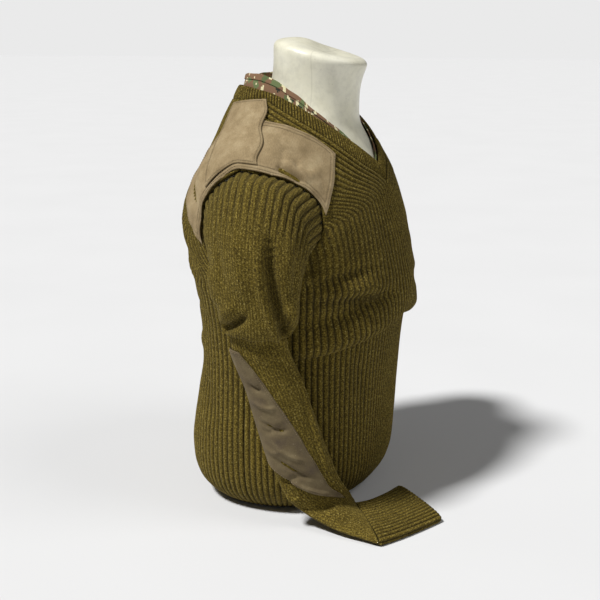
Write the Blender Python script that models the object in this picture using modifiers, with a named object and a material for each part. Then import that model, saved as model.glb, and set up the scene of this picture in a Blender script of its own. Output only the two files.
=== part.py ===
"""Army sweater worn on a limbless dress form: the construction.

Metres, +Z up. The wearer faces -Y and the wearer's right side is -X. The origin is the centre of the
form's flat base. Lengths in the tables below are millimetres, angles are degrees.
A place on the body is given by a turn and a height: the turn is 0 at the centre front, 90 at the side
and 180 at the centre back, and the skin that the cloth is worked over gives the rest.
"""

from collections import namedtuple

import bmesh
import bpy
import numpy as np

MM = 0.001
ARMHOLE_GAP = 1.7
BAND_GAP = 1.2
KNIT_WALL = 2.2
RIB_HEIGHT = 1.2
RIBS_PER_QUARTER = 32
INNER_EVERY = 5
SHARP_FROM = 30
MIRROR_MERGE = 0.0001

# The skin: level sections of the clothed figure.
Slice = namedtuple("Slice", "z half_width front back power")
SKIN = [
    Slice(0, 123, 95, 86, 2.3),
    Slice(6, 133, 105, 96, 2.3),
    Slice(16, 146, 119, 108, 2.3),
    Slice(32, 158, 130, 119, 2.3),
    Slice(52, 164, 135, 124, 2.3),
    Slice(76, 166, 137, 125, 2.3),
    Slice(106, 166, 139, 121, 2.3),
    Slice(150, 163, 142, 112, 2.3),
    Slice(196, 162, 146, 102, 2.25),
    Slice(241, 165, 150, 100, 2.2),
    Slice(286, 173, 153, 106, 2.2),
    Slice(316, 179, 155, 112, 2.2),
    Slice(346, 184, 155, 121, 2.2),
    Slice(376, 186, 151, 130, 2.2),
    Slice(406, 184, 143, 130, 2.15),
    Slice(436, 179, 134, 120, 2.05),
    Slice(456, 171, 126, 110, 1.95),
    Slice(476, 156, 117, 102, 1.85),
    Slice(496, 134, 107, 95, 1.85),
    Slice(516, 112, 96, 88, 1.9),
    Slice(536, 94, 83, 78, 2.0),
    Slice(556, 81, 71, 68, 2.0),
    Slice(582, 72, 62, 60, 2.0),
]

# The front panel's rows, hem to shoulder seam. Each runs from the centre line, or above the neck
# point of the V from the neckline, to the side seam or the armhole. The three last columns stand the
# cloth off the skin: the big fold that hangs over across the belly, and the ridge above it.
FrontRow = namedtuple("FrontRow", "neck_turn neck_z side_turn side_z centre_out middle_out side_out")
SEAM_TURN = 0.1
FRONT_ROWS = [
    FrontRow(0, 5, 90, 5, 0, 0, 0),
    FrontRow(0, 22, 90, 22, 0, 0, 0),
    FrontRow(0, 52, 90, 52, 0, 0, 0),
    FrontRow(0, 118, 90, 108, 0, 0, 0),
    FrontRow(0, 195, 90, 170, 0, 0, 0),
    FrontRow(0, 257, 90, 211, 2, 2, 0),
    FrontRow(0, 262, 90, 216, 12, 12, 2),
    FrontRow(0, 275, 90, 225, 18, 19, 4),
    FrontRow(0, 294, 90, 240, 18, 13, 3),
    FrontRow(0, 310, 90, 258, 15, 3, 1),
    FrontRow(0, 329, 90, 282, 10, 8, 1),
    FrontRow(0, 350, 90, 311, 6, 3, 0),
    FrontRow(0, 378, 74, 334, 3, 0, 0),
    FrontRow(0, 405, 62, 361, 0, 0, 0),
    FrontRow(0, 432, 55, 390, 0, 0, 0),
    FrontRow(24, 466, 55, 417, 0, 0, 0),
    FrontRow(46, 499, 62, 440, 0, 0, 0),
    FrontRow(68, 525, 75, 456, 0, 0, 0),
    FrontRow(90, 546, 90, 463, 0, 0, 0),
]
FRONT_UNDERARM = 11
FRONT_V = 14

# The back panel's rows. top_share is how far a row has bent to the shape of the top edge.
BackRow = namedtuple("BackRow", "neck_z side_turn side_z top_share centre_out middle_out side_out")
BACK_ROWS = [
    BackRow(5, 90, 5, 0, 0, 0, 0),
    BackRow(22, 90, 22, 0, 0, 0, 0),
    BackRow(52, 90, 52, 0, 0, 0, 0),
    BackRow(118, 90, 108, 0, 0, 0, 0),
    BackRow(195, 90, 178, 0, 2, 2, 0),
    BackRow(262, 90, 240, 0, 6, 5, 0),
    BackRow(336, 90, 311, 0, 2, 2, 0),
    BackRow(385, 101, 350, 0, 0, 0, 0),
    BackRow(430, 106, 385, 0.1, 0, 0, 0),
    BackRow(472, 106, 417, 0.33, 0, 0, 0),
    BackRow(509, 100, 444, 0.64, 0, 0, 0),
    BackRow(540, 90, 463, 1, 0, 0, 0),
]
BACK_UNDERARM = 6
NECK_POINT_Z = 546
BACK_NECK_SHARE = 0.46

# The neckband's upper edge, from the V round to the centre back, and the facing's edges from there.
BandEdge = namedtuple("BandEdge", "share turn z facing_above")
BAND_EDGE = [
    BandEdge(0.0, 0, 460, 3),
    BandEdge(0.19, 23, 491, 5),
    BandEdge(0.36, 46, 520, 8),
    BandEdge(0.5, 68, 542, 11),
    BandEdge(0.625, 91, 556, 13),
    BandEdge(0.75, 121, 562, 13),
    BandEdge(0.87, 151, 562, 12),
    BandEdge(1.0, 180, 560, 11),
]
BAND_RIBS = 44
INNER_BAND_EVERY = 4
BAND_WALL = 2.2
BAND_RIB = 0.9
FACING_POINTS = 27
FACING_WALL = 1.0
FACING_BELOW = 9
FACING_INSET = 1.6

# The dress form: its clearance under the cloth, and its neck.
FORM_CLEARANCE = [(0, 6.0), (350, 6.0), (426, 4.0), (464, 4.0), (480, 6.5), (600, 6.5)]
FORM_LEVELS = [0, 8, 22, 45, 110, 200, 290, 360, 410, 440, 460, 478, 496, 512]
FORM_SIDES = 32
NeckRing = namedtuple("NeckRing", "z_front z_back y radius")
NECK = [
    NeckRing(528, 532, -17, 76),
    NeckRing(542, 552, -31, 63),
    NeckRing(560, 572, -36, 59),
    NeckRing(580, 600, -40, 61),
    NeckRing(588, 612, -42, 63.5),
    NeckRing(594, 621, -41, 61),
    NeckRing(598, 626, -40, 53),
]

# The sleeve: flattened rings down the empty arm. yaw turns the ring's width from straight ahead
# towards the middle, slope lifts its front end, pitch tips its thickness from outward to upward.
Ring = namedtuple("Ring", "x y z half_width yaw slope half_thick pitch")
UPPER_SLEEVE = [
    Ring(188, -31, 384, 66, 6, 0, 74, 84),
    Ring(201, -35, 367, 62, 7, 0, 64, 64),
    Ring(208, -38, 343, 58, 5, 0, 49, 40),
    Ring(209, -40, 317, 54, 4, 0, 34, 15),
    Ring(209, -41, 291, 52, 4, 0, 27, 2),
    Ring(208, -40, 273, 48, 4, 0, 24, 0),
    Ring(206, -38, 264, 41, 5, 0, 20, 0),
]
RIGHT_FOREARM = [
    Ring(203, -37, 266, 36, 8, 0, 16, 0),
    Ring(199, -38, 246, 36, 12, 6, 17, 0),
    Ring(188, -53, 198, 36, 18, 8, 18, 0),
    Ring(180, -67, 146, 37, 22, 9, 18, 3),
    Ring(172, -83, 92, 38, 28, 10, 17, 8),
    Ring(160, -100, 46, 38, 38, 10, 14, 22),
    Ring(146, -121, 21, 36, 72, 6, 12, 55),
    Ring(145, -147, 11, 45, 108, 3, 9, 82),
    Ring(148, -165, 8, 54, 126, 2, 8, 90),
]
LEFT_FOREARM = [
    Ring(203, -36, 266, 36, 2, 0, 16, 0),
    Ring(199, -32, 246, 36, -6, -4, 17, 0),
    Ring(196, -20, 198, 36, -8, -6, 18, 0),
    Ring(196, -4, 146, 37, -11, -8, 18, 0),
    Ring(195, 15, 92, 38, -16, -10, 17, 6),
    Ring(192, 40, 46, 40, -34, -10, 14, 25),
    Ring(180, 68, 21, 42, -64, -6, 12, 55),
    Ring(174, 96, 11, 48, -90, -3, 9, 84),
    Ring(172, 114, 8, 53, -100, -2, 8, 90),
]
SLEEVE = {"right": UPPER_SLEEVE + RIGHT_FOREARM, "left": UPPER_SLEEVE + LEFT_FOREARM}
SIDE = {"right": -1, "left": 1}
SLEEVE_WALL = 2.4
HEAD_RIBS = 40
HEAD_RINGS = 2
HEAD_FADE = [1.0, 0.6]
SLEEVE_POINTS = 28
SLEEVE_INNER = 16

CUFF = {
    "right": [
        Ring(147.5, -165.7, 8, 54, 126, 2, 8, 90),
        Ring(121, -182, 6.5, 53, 130, 1, 7, 90),
        Ring(91, -198, 7, 51, 136, 2, 7, 90),
        Ring(60, -213, 9, 49, 142, 5, 7, 90),
    ],
    "left": [
        Ring(171.8, 114.8, 8, 53, -100, -2, 8, 90),
        Ring(167, 141, 6.5, 52, -99, -1, 7, 90),
        Ring(161, 170, 7, 50, -98, -2, 7, 90),
        Ring(155, 198, 9, 48, -97, -5, 7, 90),
    ],
}
CUFF_RIBS = 34
CUFF_RIB = 0.8
CUFF_INNER = 18
CUFF_SQUARENESS = 3.0

# The woven patches: places along the armhole, from the patch's front end to its back end.
PatchEdge = namedtuple("PatchEdge", "low_turn low_z high_turn high_z")
SHOULDER_PATCH = [
    PatchEdge(53, 409, 43, 478),
    PatchEdge(55, 423, 50, 493),
    PatchEdge(62, 445, 64, 508),
    PatchEdge(75, 461, 79, 517),
    PatchEdge(90, 469, 92, 519),
    PatchEdge(101.5, 447, 106, 513),
    PatchEdge(107.5, 419, 120, 496),
    PatchEdge(107.5, 392, 126, 450),
    PatchEdge(106, 372, 116, 398),
]
EPAULETTE = [
    PatchEdge(82, 467, 87, 544),
    PatchEdge(91, 469, 98, 543),
    PatchEdge(99, 457, 110, 541),
    PatchEdge(105, 438, 122, 538),
]
PATCH_LIFT = 4.8
PATCH_WALL = 1.2
STRAP_LIFT = 7.1
STRAP_WALL = 1.4

# The elbow patch's rows: a ring of the sleeve, and the first of its points that the row covers.
ElbowRow = namedtuple("ElbowRow", "ring first_point")
ELBOW = [ElbowRow(8, 9), ElbowRow(9, 7), ElbowRow(10, 6), ElbowRow(11, 5), ElbowRow(12, 5), ElbowRow(13, 5)]
ELBOW_LAST_POINT = 18
ELBOW_LIFT = 1.6
ELBOW_WALL = 1.2

OLIVE = (0.075, 0.062, 0.012, 1)
TAUPE = (0.140, 0.105, 0.062, 1)
CAMO = (0.190, 0.170, 0.090, 1)
OFF_WHITE = (0.760, 0.755, 0.650, 1)


def smooth(at, places, values):
    """Read the smooth curve, with no overshoot, through the table's points."""
    places = np.asarray(places, float)
    values = np.asarray(values, float)
    at = np.clip(np.asarray(at, float), places[0], places[-1])
    step = np.diff(places)
    rise = np.diff(values) / step
    both = rise[1:] * rise[:-1]
    total = np.where(both > 0, rise[1:] + rise[:-1], 1)
    slope = np.concatenate(([rise[0]], np.where(both > 0, 2 * both / total, 0), [rise[-1]]))
    cell = np.clip(np.searchsorted(places, at, side="right") - 1, 0, len(step) - 1)
    t = (at - places[cell]) / step[cell]
    start = (1 + 2 * t) * (1 - t) ** 2 * values[cell] + t * (1 - t) ** 2 * step[cell] * slope[cell]
    end = t * t * (3 - 2 * t) * values[cell + 1] + t * t * (t - 1) * step[cell] * slope[cell + 1]
    return start + end


def column(table, name):
    """One named column of a table."""
    return [getattr(row, name) for row in table]


def read(table, name, at):
    """A column read smoothly at a row number that may lie between two rows."""
    return smooth(at, range(len(table)), column(table, name))


def unit(vectors):
    """Vectors of length one."""
    return vectors / np.maximum(np.linalg.norm(vectors, axis=-1, keepdims=True), 1e-12)


def skin(turn, z):
    """The skin's point at a turn and a height."""
    turn, z = np.broadcast_arrays(np.asarray(turn, float), np.asarray(z, float))
    heights = column(SKIN, "z")
    width = smooth(z, heights, column(SKIN, "half_width"))
    front = smooth(z, heights, column(SKIN, "front"))
    back = smooth(z, heights, column(SKIN, "back"))
    power = smooth(z, heights, column(SKIN, "power"))
    sine, cosine = np.sin(np.radians(turn)), np.cos(np.radians(turn))
    depth = np.where(cosine > 0, front, back)
    reach = (np.abs(cosine / depth) ** power + np.abs(sine / width) ** power) ** (-1 / power)
    return np.stack([reach * sine, -reach * cosine, z], -1)


def normal_of(surface, first, second, step_first, step_second):
    """The unit normal of a surface, from two short steps along it."""
    along = surface(first + step_first, second) - surface(first - step_first, second)
    across = surface(first, second + step_second) - surface(first, second - step_second)
    return unit(np.cross(along, across))


def skin_normal(turn, z):
    """The skin's outward normal."""
    return normal_of(skin, np.asarray(turn, float), np.asarray(z, float), 0.4, 0.8)


def off_skin(turn, z, lift):
    """A point that stands off the skin by a lift."""
    return skin(turn, z) + skin_normal(turn, z) * np.asarray(lift, float)[..., None]


def stand_off(rows, across, row):
    """How far a panel's folds stand it off the skin."""
    centre = read(rows, "centre_out", row)
    middle = read(rows, "middle_out", row)
    side = read(rows, "side_out", row)
    inner = np.clip(across / 0.5, 0, 1)
    outer = np.clip((across - 0.5) / 0.5, 0, 1)
    inner = inner * inner * (3 - 2 * inner)
    outer = outer * outer * (3 - 2 * outer)
    return centre + (middle - centre) * inner + (side - middle) * outer


def front_place(across, row):
    """Turn and height on the front panel, across from the centre or neckline to the side."""
    neck_turn = read(FRONT_ROWS, "neck_turn", row)
    neck_z = read(FRONT_ROWS, "neck_z", row)
    side_turn = read(FRONT_ROWS, "side_turn", row)
    side_z = read(FRONT_ROWS, "side_z", row)
    turn = neck_turn + (side_turn - neck_turn) * across
    limit = 90 - SEAM_TURN
    return np.minimum(turn, limit), neck_z + (side_z - neck_z) * across


def back_place(across, row):
    """Turn and height on the back panel, across from the centre back to the side."""
    neck_z = read(BACK_ROWS, "neck_z", row)
    side_turn = read(BACK_ROWS, "side_turn", row)
    side_z = read(BACK_ROWS, "side_z", row)
    share = read(BACK_ROWS, "top_share", row)
    last = BACK_ROWS[-1]
    round_neck = np.clip(across / BACK_NECK_SHARE, 0, 1)
    down_seam = np.clip((across - BACK_NECK_SHARE) / (1 - BACK_NECK_SHARE), 0, 1)
    top_turn = 180 - 90 * round_neck
    top_z = last.neck_z + (NECK_POINT_Z - last.neck_z) * round_neck + (last.side_z - NECK_POINT_Z) * down_seam
    straight_turn = 180 - 90 * across
    straight_z = last.neck_z + (last.side_z - last.neck_z) * across
    turn = 180 + (side_turn - 180) * across + share * (top_turn - straight_turn)
    z = neck_z + (side_z - neck_z) * across + share * (top_z - straight_z)
    return np.maximum(turn, 90 + SEAM_TURN), z


def front_surface(across, row):
    """The plain inside of the front panel."""
    turn, z = front_place(across, row)
    return off_skin(turn, z, stand_off(FRONT_ROWS, across, row))


def back_surface(across, row):
    """The plain inside of the back panel."""
    turn, z = back_place(across, row)
    return off_skin(turn, z, stand_off(BACK_ROWS, across, row))


Panel = namedtuple("Panel", "surface rows underarm")
FRONT = Panel(front_surface, FRONT_ROWS, FRONT_UNDERARM)
BACK = Panel(back_surface, BACK_ROWS, len(BACK_ROWS))


def panel_point(panel, across, row, lift):
    """A point that stands off a panel's inside by a lift."""
    across = np.clip(np.asarray(across, float), 0, 1)
    row = np.asarray(row, float) + 0 * across
    last = len(panel.rows) - 1
    inside_across = np.clip(across, 0.004, 0.996)
    inside_row = np.clip(row, 0.02, last - 0.02)
    turned = normal_of(panel.surface, inside_across, inside_row, 0.004, 0.02)
    radial = panel.surface(across, row) * (1, 1, 0)
    turned = turned * np.where(np.sum(turned * radial, -1, keepdims=True) < 0, -1, 1)
    return panel.surface(across, row) + turned * np.asarray(lift, float)[..., None]


def row_length(panel, row):
    """The length of a panel's row, across the half."""
    points = panel.surface(np.linspace(0, 1, 41), np.full(41, float(row)))
    return float(np.linalg.norm(np.diff(points, axis=0), axis=1).sum())


def row_columns(panel, row):
    """Where a row's outer points lie across the half: a valley and a crest for each rib."""
    count = 2 * RIBS_PER_QUARTER
    if row <= panel.underarm:
        return np.arange(count + 1) / count
    step = row_length(panel, panel.underarm) / count / row_length(panel, row)
    inside = np.arange(int((1 - 0.4 * step) / step) + 1) * step
    return np.append(inside, 1.0)


class Mesh:
    """Points and faces of one piece, gathered while it is worked out."""

    def __init__(self):
        self.points = []
        self.faces = []

    def add(self, points):
        """Add points in millimetres and return their numbers."""
        first = len(self.points)
        self.points.extend(np.asarray(points, float) * MM)
        return list(range(first, len(self.points)))

    def face(self, *corners):
        """Add a face, leaving out corners that repeat."""
        kept = list(dict.fromkeys(corners))
        if len(kept) > 2:
            self.faces.append(kept)

    def stitch(self, one, other, one_keys, other_keys):
        """Join two rows of unlike counts, each step taken by the row that lies behind."""
        i = j = 0
        while i < len(one) - 1 or j < len(other) - 1:
            next_i = one_keys[i + 1] if i < len(one) - 1 else np.inf
            next_j = other_keys[j + 1] if j < len(other) - 1 else np.inf
            if abs(next_i - next_j) < 1e-6:
                self.face(one[i], one[i + 1], other[j + 1], other[j])
                i, j = i + 1, j + 1
            elif next_i < next_j:
                self.face(one[i], one[i + 1], other[j])
                i += 1
            else:
                self.face(one[i], other[j + 1], other[j])
                j += 1

    def stitch_loops(self, one, other):
        """Join two closed rings of unlike counts that start at the same place."""
        self.stitch(one + one[:1], other + other[:1], np.linspace(0, 1, len(one) + 1),
                    np.linspace(0, 1, len(other) + 1))

    def build(self, name, colour, collection, roughness):
        """Make the object, its faces pointing out."""
        mesh = bpy.data.meshes.new(name)
        mesh.from_pydata([tuple(point) for point in self.points], [], self.faces)
        work = bmesh.new()
        work.from_mesh(mesh)
        bmesh.ops.recalc_face_normals(work, faces=work.faces)
        work.to_mesh(mesh)
        work.free()
        mesh.shade_smooth()
        mesh.set_sharp_from_angle(angle=np.radians(SHARP_FROM))
        piece = bpy.data.objects.new(name, mesh)
        collection.objects.link(piece)
        dress(piece, colour, roughness)
        return piece


def dress(piece, colour, roughness):
    """Give a piece its own material."""
    material = bpy.data.materials.new(piece.name)
    material.use_nodes = True
    shader = material.node_tree.nodes["Principled BSDF"]
    shader.inputs["Base Color"].default_value = colour
    shader.inputs["Roughness"].default_value = roughness
    piece.data.materials.append(material)


def mirror(piece):
    """Complete a half that is open at the middle."""
    modifier = piece.modifiers.new("other half", "MIRROR")
    modifier.use_axis = (True, False, False)
    modifier.merge_threshold = MIRROR_MERGE


def build_panel(name, panel, neck_from, collection):
    """A ribbed knit panel, as a half with a plain inside and ribs raised on its outside."""
    work = Mesh()
    outer, inner = [], []
    for row in range(len(panel.rows)):
        across = row_columns(panel, row)
        ribs = np.where(np.arange(len(across)) % 2 == 1, RIB_HEIGHT, 0.0)
        ribs[-1] = 0.0
        points = panel_point(panel, across, row, KNIT_WALL + ribs)
        kept = sorted(set(range(0, len(across), INNER_EVERY)) | {len(across) - 1})
        plain = panel_point(panel, across[kept], row, np.zeros(len(kept)))
        if row <= neck_from:
            points[0, 0] = plain[0, 0] = 0.0
        keys = np.arange(len(across), dtype=float)
        outer.append((work.add(points), keys))
        inner.append((work.add(plain), keys[kept]))
    for rows in (outer, inner):
        for low, high in zip(rows, rows[1:]):
            work.stitch(low[0], high[0], low[1], high[1])
    for end in (0, -1):
        work.stitch(outer[end][0], inner[end][0], outer[end][1], inner[end][1])
    for row in range(len(panel.rows) - 1):
        work.face(outer[row][0][-1], outer[row + 1][0][-1], inner[row + 1][0][-1], inner[row][0][-1])
        if row >= neck_from:
            work.face(outer[row][0][0], outer[row + 1][0][0], inner[row + 1][0][0], inner[row][0][0])
    mirror(work.build(name, OLIVE, collection, 0.9))


def neckline(lift):
    """The panels' neck edge, from the V to the centre back, as the points of their rows."""
    front_rows = np.arange(FRONT_V, len(FRONT_ROWS), dtype=float)
    front = panel_point(FRONT, np.zeros(len(front_rows)), front_rows, lift)
    columns = row_columns(BACK, len(BACK_ROWS) - 1)
    columns = columns[columns <= BACK_NECK_SHARE][::-1]
    back = panel_point(BACK, columns, float(len(BACK_ROWS) - 1), lift)
    return np.concatenate([front, back])


def shares_of(points):
    """Each corner's share of the length of a bent line."""
    lengths = np.concatenate(([0], np.cumsum(np.linalg.norm(np.diff(points, axis=0), axis=1))))
    return lengths / lengths[-1]


def snapped(share, corners):
    """Shares moved onto the corners they are nearest to."""
    share = np.array(share, float)
    for corner in corners:
        share[np.argmin(np.abs(share - corner))] = corner
    return share


def along(points, share):
    """Points at shares of the length of a bent line, straight between its corners."""
    lengths = shares_of(points)
    wanted = np.asarray(share, float)
    return np.stack([np.interp(wanted, lengths, points[:, axis]) for axis in range(3)], -1)


def band_edge(share, lift):
    """The neckband's upper edge."""
    shares = column(BAND_EDGE, "share")
    turn = smooth(share, shares, column(BAND_EDGE, "turn"))
    z = smooth(share, shares, column(BAND_EDGE, "z"))
    return off_skin(turn, z, lift + 0 * share)


def build_neckband(collection):
    """The ribbed band round the V neck, its short ribs across its width."""
    work = Mesh()
    count = 2 * BAND_RIBS
    neck_point = shares_of(neckline(BAND_WALL))[len(FRONT_ROWS) - 1 - FRONT_V]
    share = snapped(np.linspace(0, 1, count + 1), [neck_point])
    ribs = np.where(np.arange(count + 1) % 2 == 1, BAND_RIB, 0.0)
    kept = sorted(set(range(0, count + 1, INNER_BAND_EVERY)) | {int(np.argmin(np.abs(share - neck_point)))})
    outward = unit(band_edge(share, BAND_WALL + 1) - band_edge(share, BAND_WALL))
    rows = []
    for lift, chosen in ((BAND_WALL, np.arange(count + 1)), (0.0, kept)):
        top = band_edge(share, lift)
        sewn = along(neckline(lift), share)
        sewn = sewn + unit(top - sewn) * BAND_GAP
        for points in (sewn, top):
            raised = points + outward * (ribs if lift else 0 * ribs)[:, None]
            raised[0, 0] = raised[-1, 0] = 0.0
            rows.append((work.add(raised[chosen]), share[chosen]))
    loop = [rows[0], rows[1], rows[3], rows[2]]
    for row, following in zip(loop, loop[1:] + loop[:1]):
        work.stitch(row[0], following[0], row[1], following[1])
    mirror(work.build("neckband", OLIVE, collection, 0.9))


def build_facing(collection):
    """The woven strip sewn inside the neckband, which shows above it."""
    work = Mesh()
    share = np.linspace(0, 1, FACING_POINTS)
    shares = column(BAND_EDGE, "share")
    turn = smooth(share, shares, column(BAND_EDGE, "turn"))
    z = smooth(share, shares, column(BAND_EDGE, "z"))
    above = smooth(share, shares, column(BAND_EDGE, "facing_above"))
    outside = -(FACING_INSET + np.zeros(len(share)))
    rows = []
    for lift in (outside, outside - FACING_WALL):
        for rise in (-FACING_BELOW * np.ones(len(share)), above):
            points = off_skin(turn, z + rise, lift)
            points[0, 0] = points[-1, 0] = 0.0
            rows.append(work.add(points))
    loop = [rows[0], rows[1], rows[3], rows[2]]
    for row, following in zip(loop, loop[1:] + loop[:1]):
        work.stitch(row, following, share, share)
    mirror(work.build("neck_facing", CAMO, collection, 0.85))


def build_form(collection):
    """The smooth limbless form that carries the cloth, with its neck."""
    work = Mesh()
    turns = np.arange(FORM_SIDES) * 360 / FORM_SIDES
    clearance = np.array(FORM_CLEARANCE)
    rings = []
    for level in FORM_LEVELS:
        inset = smooth(level, clearance[:, 0], clearance[:, 1])
        height = np.full(FORM_SIDES, float(level))
        points = off_skin(turns, height, np.full(FORM_SIDES, -float(inset)))
        points[:, 2] = level
        rings.append(work.add(points))
    for ring in NECK:
        sine, cosine = np.sin(np.radians(turns)), np.cos(np.radians(turns))
        level = (ring.z_front + ring.z_back) / 2 + cosine * (ring.z_front - ring.z_back) / 2
        rings.append(work.add(np.stack([ring.radius * sine, ring.y - ring.radius * cosine, level], -1)))
    for low, high in zip(rings, rings[1:]):
        work.stitch_loops(low, high)
    work.face(*rings[0])
    work.face(*rings[-1])
    work.build("dress_form", OFF_WHITE, collection, 0.45)


def armhole(lift):
    """The panels' armhole edge as a closed line: front, up over the shoulder, back, underarm."""
    front_rows = np.arange(FRONT_UNDERARM, len(FRONT_ROWS), dtype=float)
    back_rows = np.arange(BACK_UNDERARM, len(BACK_ROWS) - 1, dtype=float)[::-1]
    front = panel_point(FRONT, np.ones(len(front_rows)), front_rows, lift)
    back = panel_point(BACK, np.ones(len(back_rows)), back_rows, lift)
    return np.concatenate([front, back, front[:1]])


def armhole_ring(count, lift):
    """The sleeve's sewn edge, spaced from the armhole, starting at its front."""
    line = armhole(lift)
    centre = line[:-1].mean(axis=0)
    corners = shares_of(line)
    start = corners[np.argmin(line[:, 1])]
    share = snapped(np.linspace(0, 1, count, endpoint=False), (corners - start) % 1)
    points = along(line, (start + share) % 1)
    return points + unit(centre - points) * ARMHOLE_GAP


def ring_axes(yaw, slope, pitch):
    """Unit directions of a ring's width, towards its front, and of its thickness."""
    yaw, slope, pitch = np.radians(yaw), np.radians(slope), np.radians(pitch)
    ahead = np.array([-np.sin(yaw) * np.cos(slope), -np.cos(yaw) * np.cos(slope), np.sin(slope)])
    outward = np.array([np.cos(yaw), -np.sin(yaw), 0.0])
    upward = np.cross(ahead, outward)
    upward = upward * np.sign(upward[2])
    return ahead, outward * np.cos(pitch) + upward * np.sin(pitch)


def oval(table, place, angles, inset, squareness=2.0):
    """Points round a flattened ring of a table, at a place that may lie between two rows."""
    value = {name: float(read(table, name, place)) for name in Ring._fields}
    ahead, thick = ring_axes(value["yaw"], value["slope"], value["pitch"])
    centre = np.array([value["x"], value["y"], value["z"]])
    cosine, sine = np.cos(np.radians(angles)), np.sin(np.radians(angles))
    bend = 2 / squareness
    wide = np.sign(cosine) * np.abs(cosine) ** bend * (value["half_width"] - inset)
    deep = np.sign(sine) * np.abs(sine) ** bend * (value["half_thick"] - inset)
    return centre + wide[:, None] * ahead + deep[:, None] * thick


def build_sleeve(word, collection):
    """An empty sleeve: a tube from the armhole, ribbed at its head, down to the cuff's seam."""
    work = Mesh()
    table = SLEEVE[word]
    side = SIDE[word]
    outer, inner = [], []
    head_points = 2 * HEAD_RIBS
    for place in range(-1, len(table)):
        count = head_points if place < HEAD_RINGS else SLEEVE_POINTS
        angles = np.arange(count) * 360 / count
        inner_count = HEAD_RIBS if place < 0 else SLEEVE_INNER
        inner_angles = np.arange(inner_count) * 360 / inner_count
        if place < 0:
            outside = armhole_ring(count, KNIT_WALL)
            inside = armhole_ring(inner_count, 0.0)
        else:
            outside = oval(table, place, angles, 0.0)
            inside = oval(table, place, inner_angles, SLEEVE_WALL)
        if -1 < place < HEAD_RINGS:
            ribs = np.where(np.arange(count) % 2 == 1, RIB_HEIGHT, 0.0) * HEAD_FADE[place]
            centre = outside.mean(axis=0)
            outside = outside + unit(outside - centre) * ribs[:, None]
        outside[:, 2] = np.maximum(outside[:, 2], 0.0)
        inside[:, 2] = np.maximum(inside[:, 2], SLEEVE_WALL)
        outer.append(work.add(outside * (side, 1, 1)))
        inner.append(work.add(inside * (side, 1, 1)))
    for rings in (outer, inner):
        for low, high in zip(rings, rings[1:]):
            work.stitch_loops(low, high)
    for end in (0, -1):
        work.stitch_loops(outer[end], inner[end])
    work.build(f"sleeve_{word}", OLIVE, collection, 0.9)


def build_cuff(word, collection):
    """The ribbed cuff, lying flat on the ground with its open end away from the sleeve."""
    work = Mesh()
    table = CUFF[word]
    side = SIDE[word]
    count = 2 * CUFF_RIBS
    angles = np.arange(count) * 360 / count
    inner_angles = np.arange(CUFF_INNER) * 360 / CUFF_INNER
    outer, inner = [], []
    for place in range(len(table)):
        ribs = np.where(np.arange(count) % 2 == 1, CUFF_RIB, 0.0)
        plain = oval(table, place, angles, 0.0, CUFF_SQUARENESS)
        outside = plain + unit(plain - plain.mean(axis=0)) * ribs[:, None]
        inside = oval(table, place, inner_angles, SLEEVE_WALL, CUFF_SQUARENESS)
        outside[:, 2] = np.maximum(outside[:, 2], 0.0)
        inside[:, 2] = np.maximum(inside[:, 2], SLEEVE_WALL)
        outer.append(work.add(outside * (side, 1, 1)))
        inner.append(work.add(inside * (side, 1, 1)))
    for rings in (outer, inner):
        for low, high in zip(rings, rings[1:]):
            work.stitch_loops(low, high)
    for end in (0, -1):
        work.stitch_loops(outer[end], inner[end])
    work.build(f"cuff_{word}", OLIVE, collection, 0.9)


def build_sheet(name, rows, keys, wall, inside, collection):
    """A woven patch: an open sheet given its thickness away from the cloth below it."""
    work = Mesh()
    numbers = [work.add(row) for row in rows]
    for row in range(len(rows) - 1):
        work.stitch(numbers[row], numbers[row + 1], keys[row], keys[row + 1])
    piece = work.build(name, TAUPE, collection, 0.8)
    facing = np.dot(piece.data.polygons[0].normal, rows[0][0] - inside)
    thickness = piece.modifiers.new("wall", "SOLIDIFY")
    thickness.thickness = wall * MM
    thickness.offset = 1.0 if facing > 0 else -1.0


def build_on_shoulder(name, table, side, lift, wall, across_count, along_count, collection):
    """A patch over the shoulder, from its edge at the armhole to its upper edge."""
    places = np.linspace(0, len(table) - 1, along_count)
    low_turn, low_z = read(table, "low_turn", places), read(table, "low_z", places)
    high_turn, high_z = read(table, "high_turn", places), read(table, "high_z", places)
    rows = []
    for share in np.linspace(0, 1, across_count):
        turn = low_turn + (high_turn - low_turn) * share
        z = low_z + (high_z - low_z) * share
        rows.append(off_skin(turn, z, np.full(along_count, float(lift))) * (side, 1, 1))
    axis = np.array([0.0, 0.0, rows[0][0][2]])
    keys = [places] * across_count
    build_sheet(name, rows, keys, wall, axis, collection)


def build_elbow(word, collection):
    """The elbow patch, on the sleeve's own points moved out: its outer and back side."""
    table = SLEEVE[word]
    rows, keys = [], []
    for row in ELBOW:
        chosen = np.arange(row.first_point, ELBOW_LAST_POINT + 1)
        rows.append(oval(table, row.ring, chosen * 360 / SLEEVE_POINTS, -ELBOW_LIFT) * (SIDE[word], 1, 1))
        keys.append(chosen.astype(float))
    centre = oval(table, ELBOW[0].ring, np.array([0.0, 180.0]), 0.0).mean(axis=0) * (SIDE[word], 1, 1)
    build_sheet(f"elbow_patch_{word}", rows, keys, ELBOW_WALL, centre, collection)


def clear_scene():
    """Remove what the new file holds."""
    for item in list(bpy.data.objects):
        bpy.data.objects.remove(item, do_unlink=True)


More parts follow.
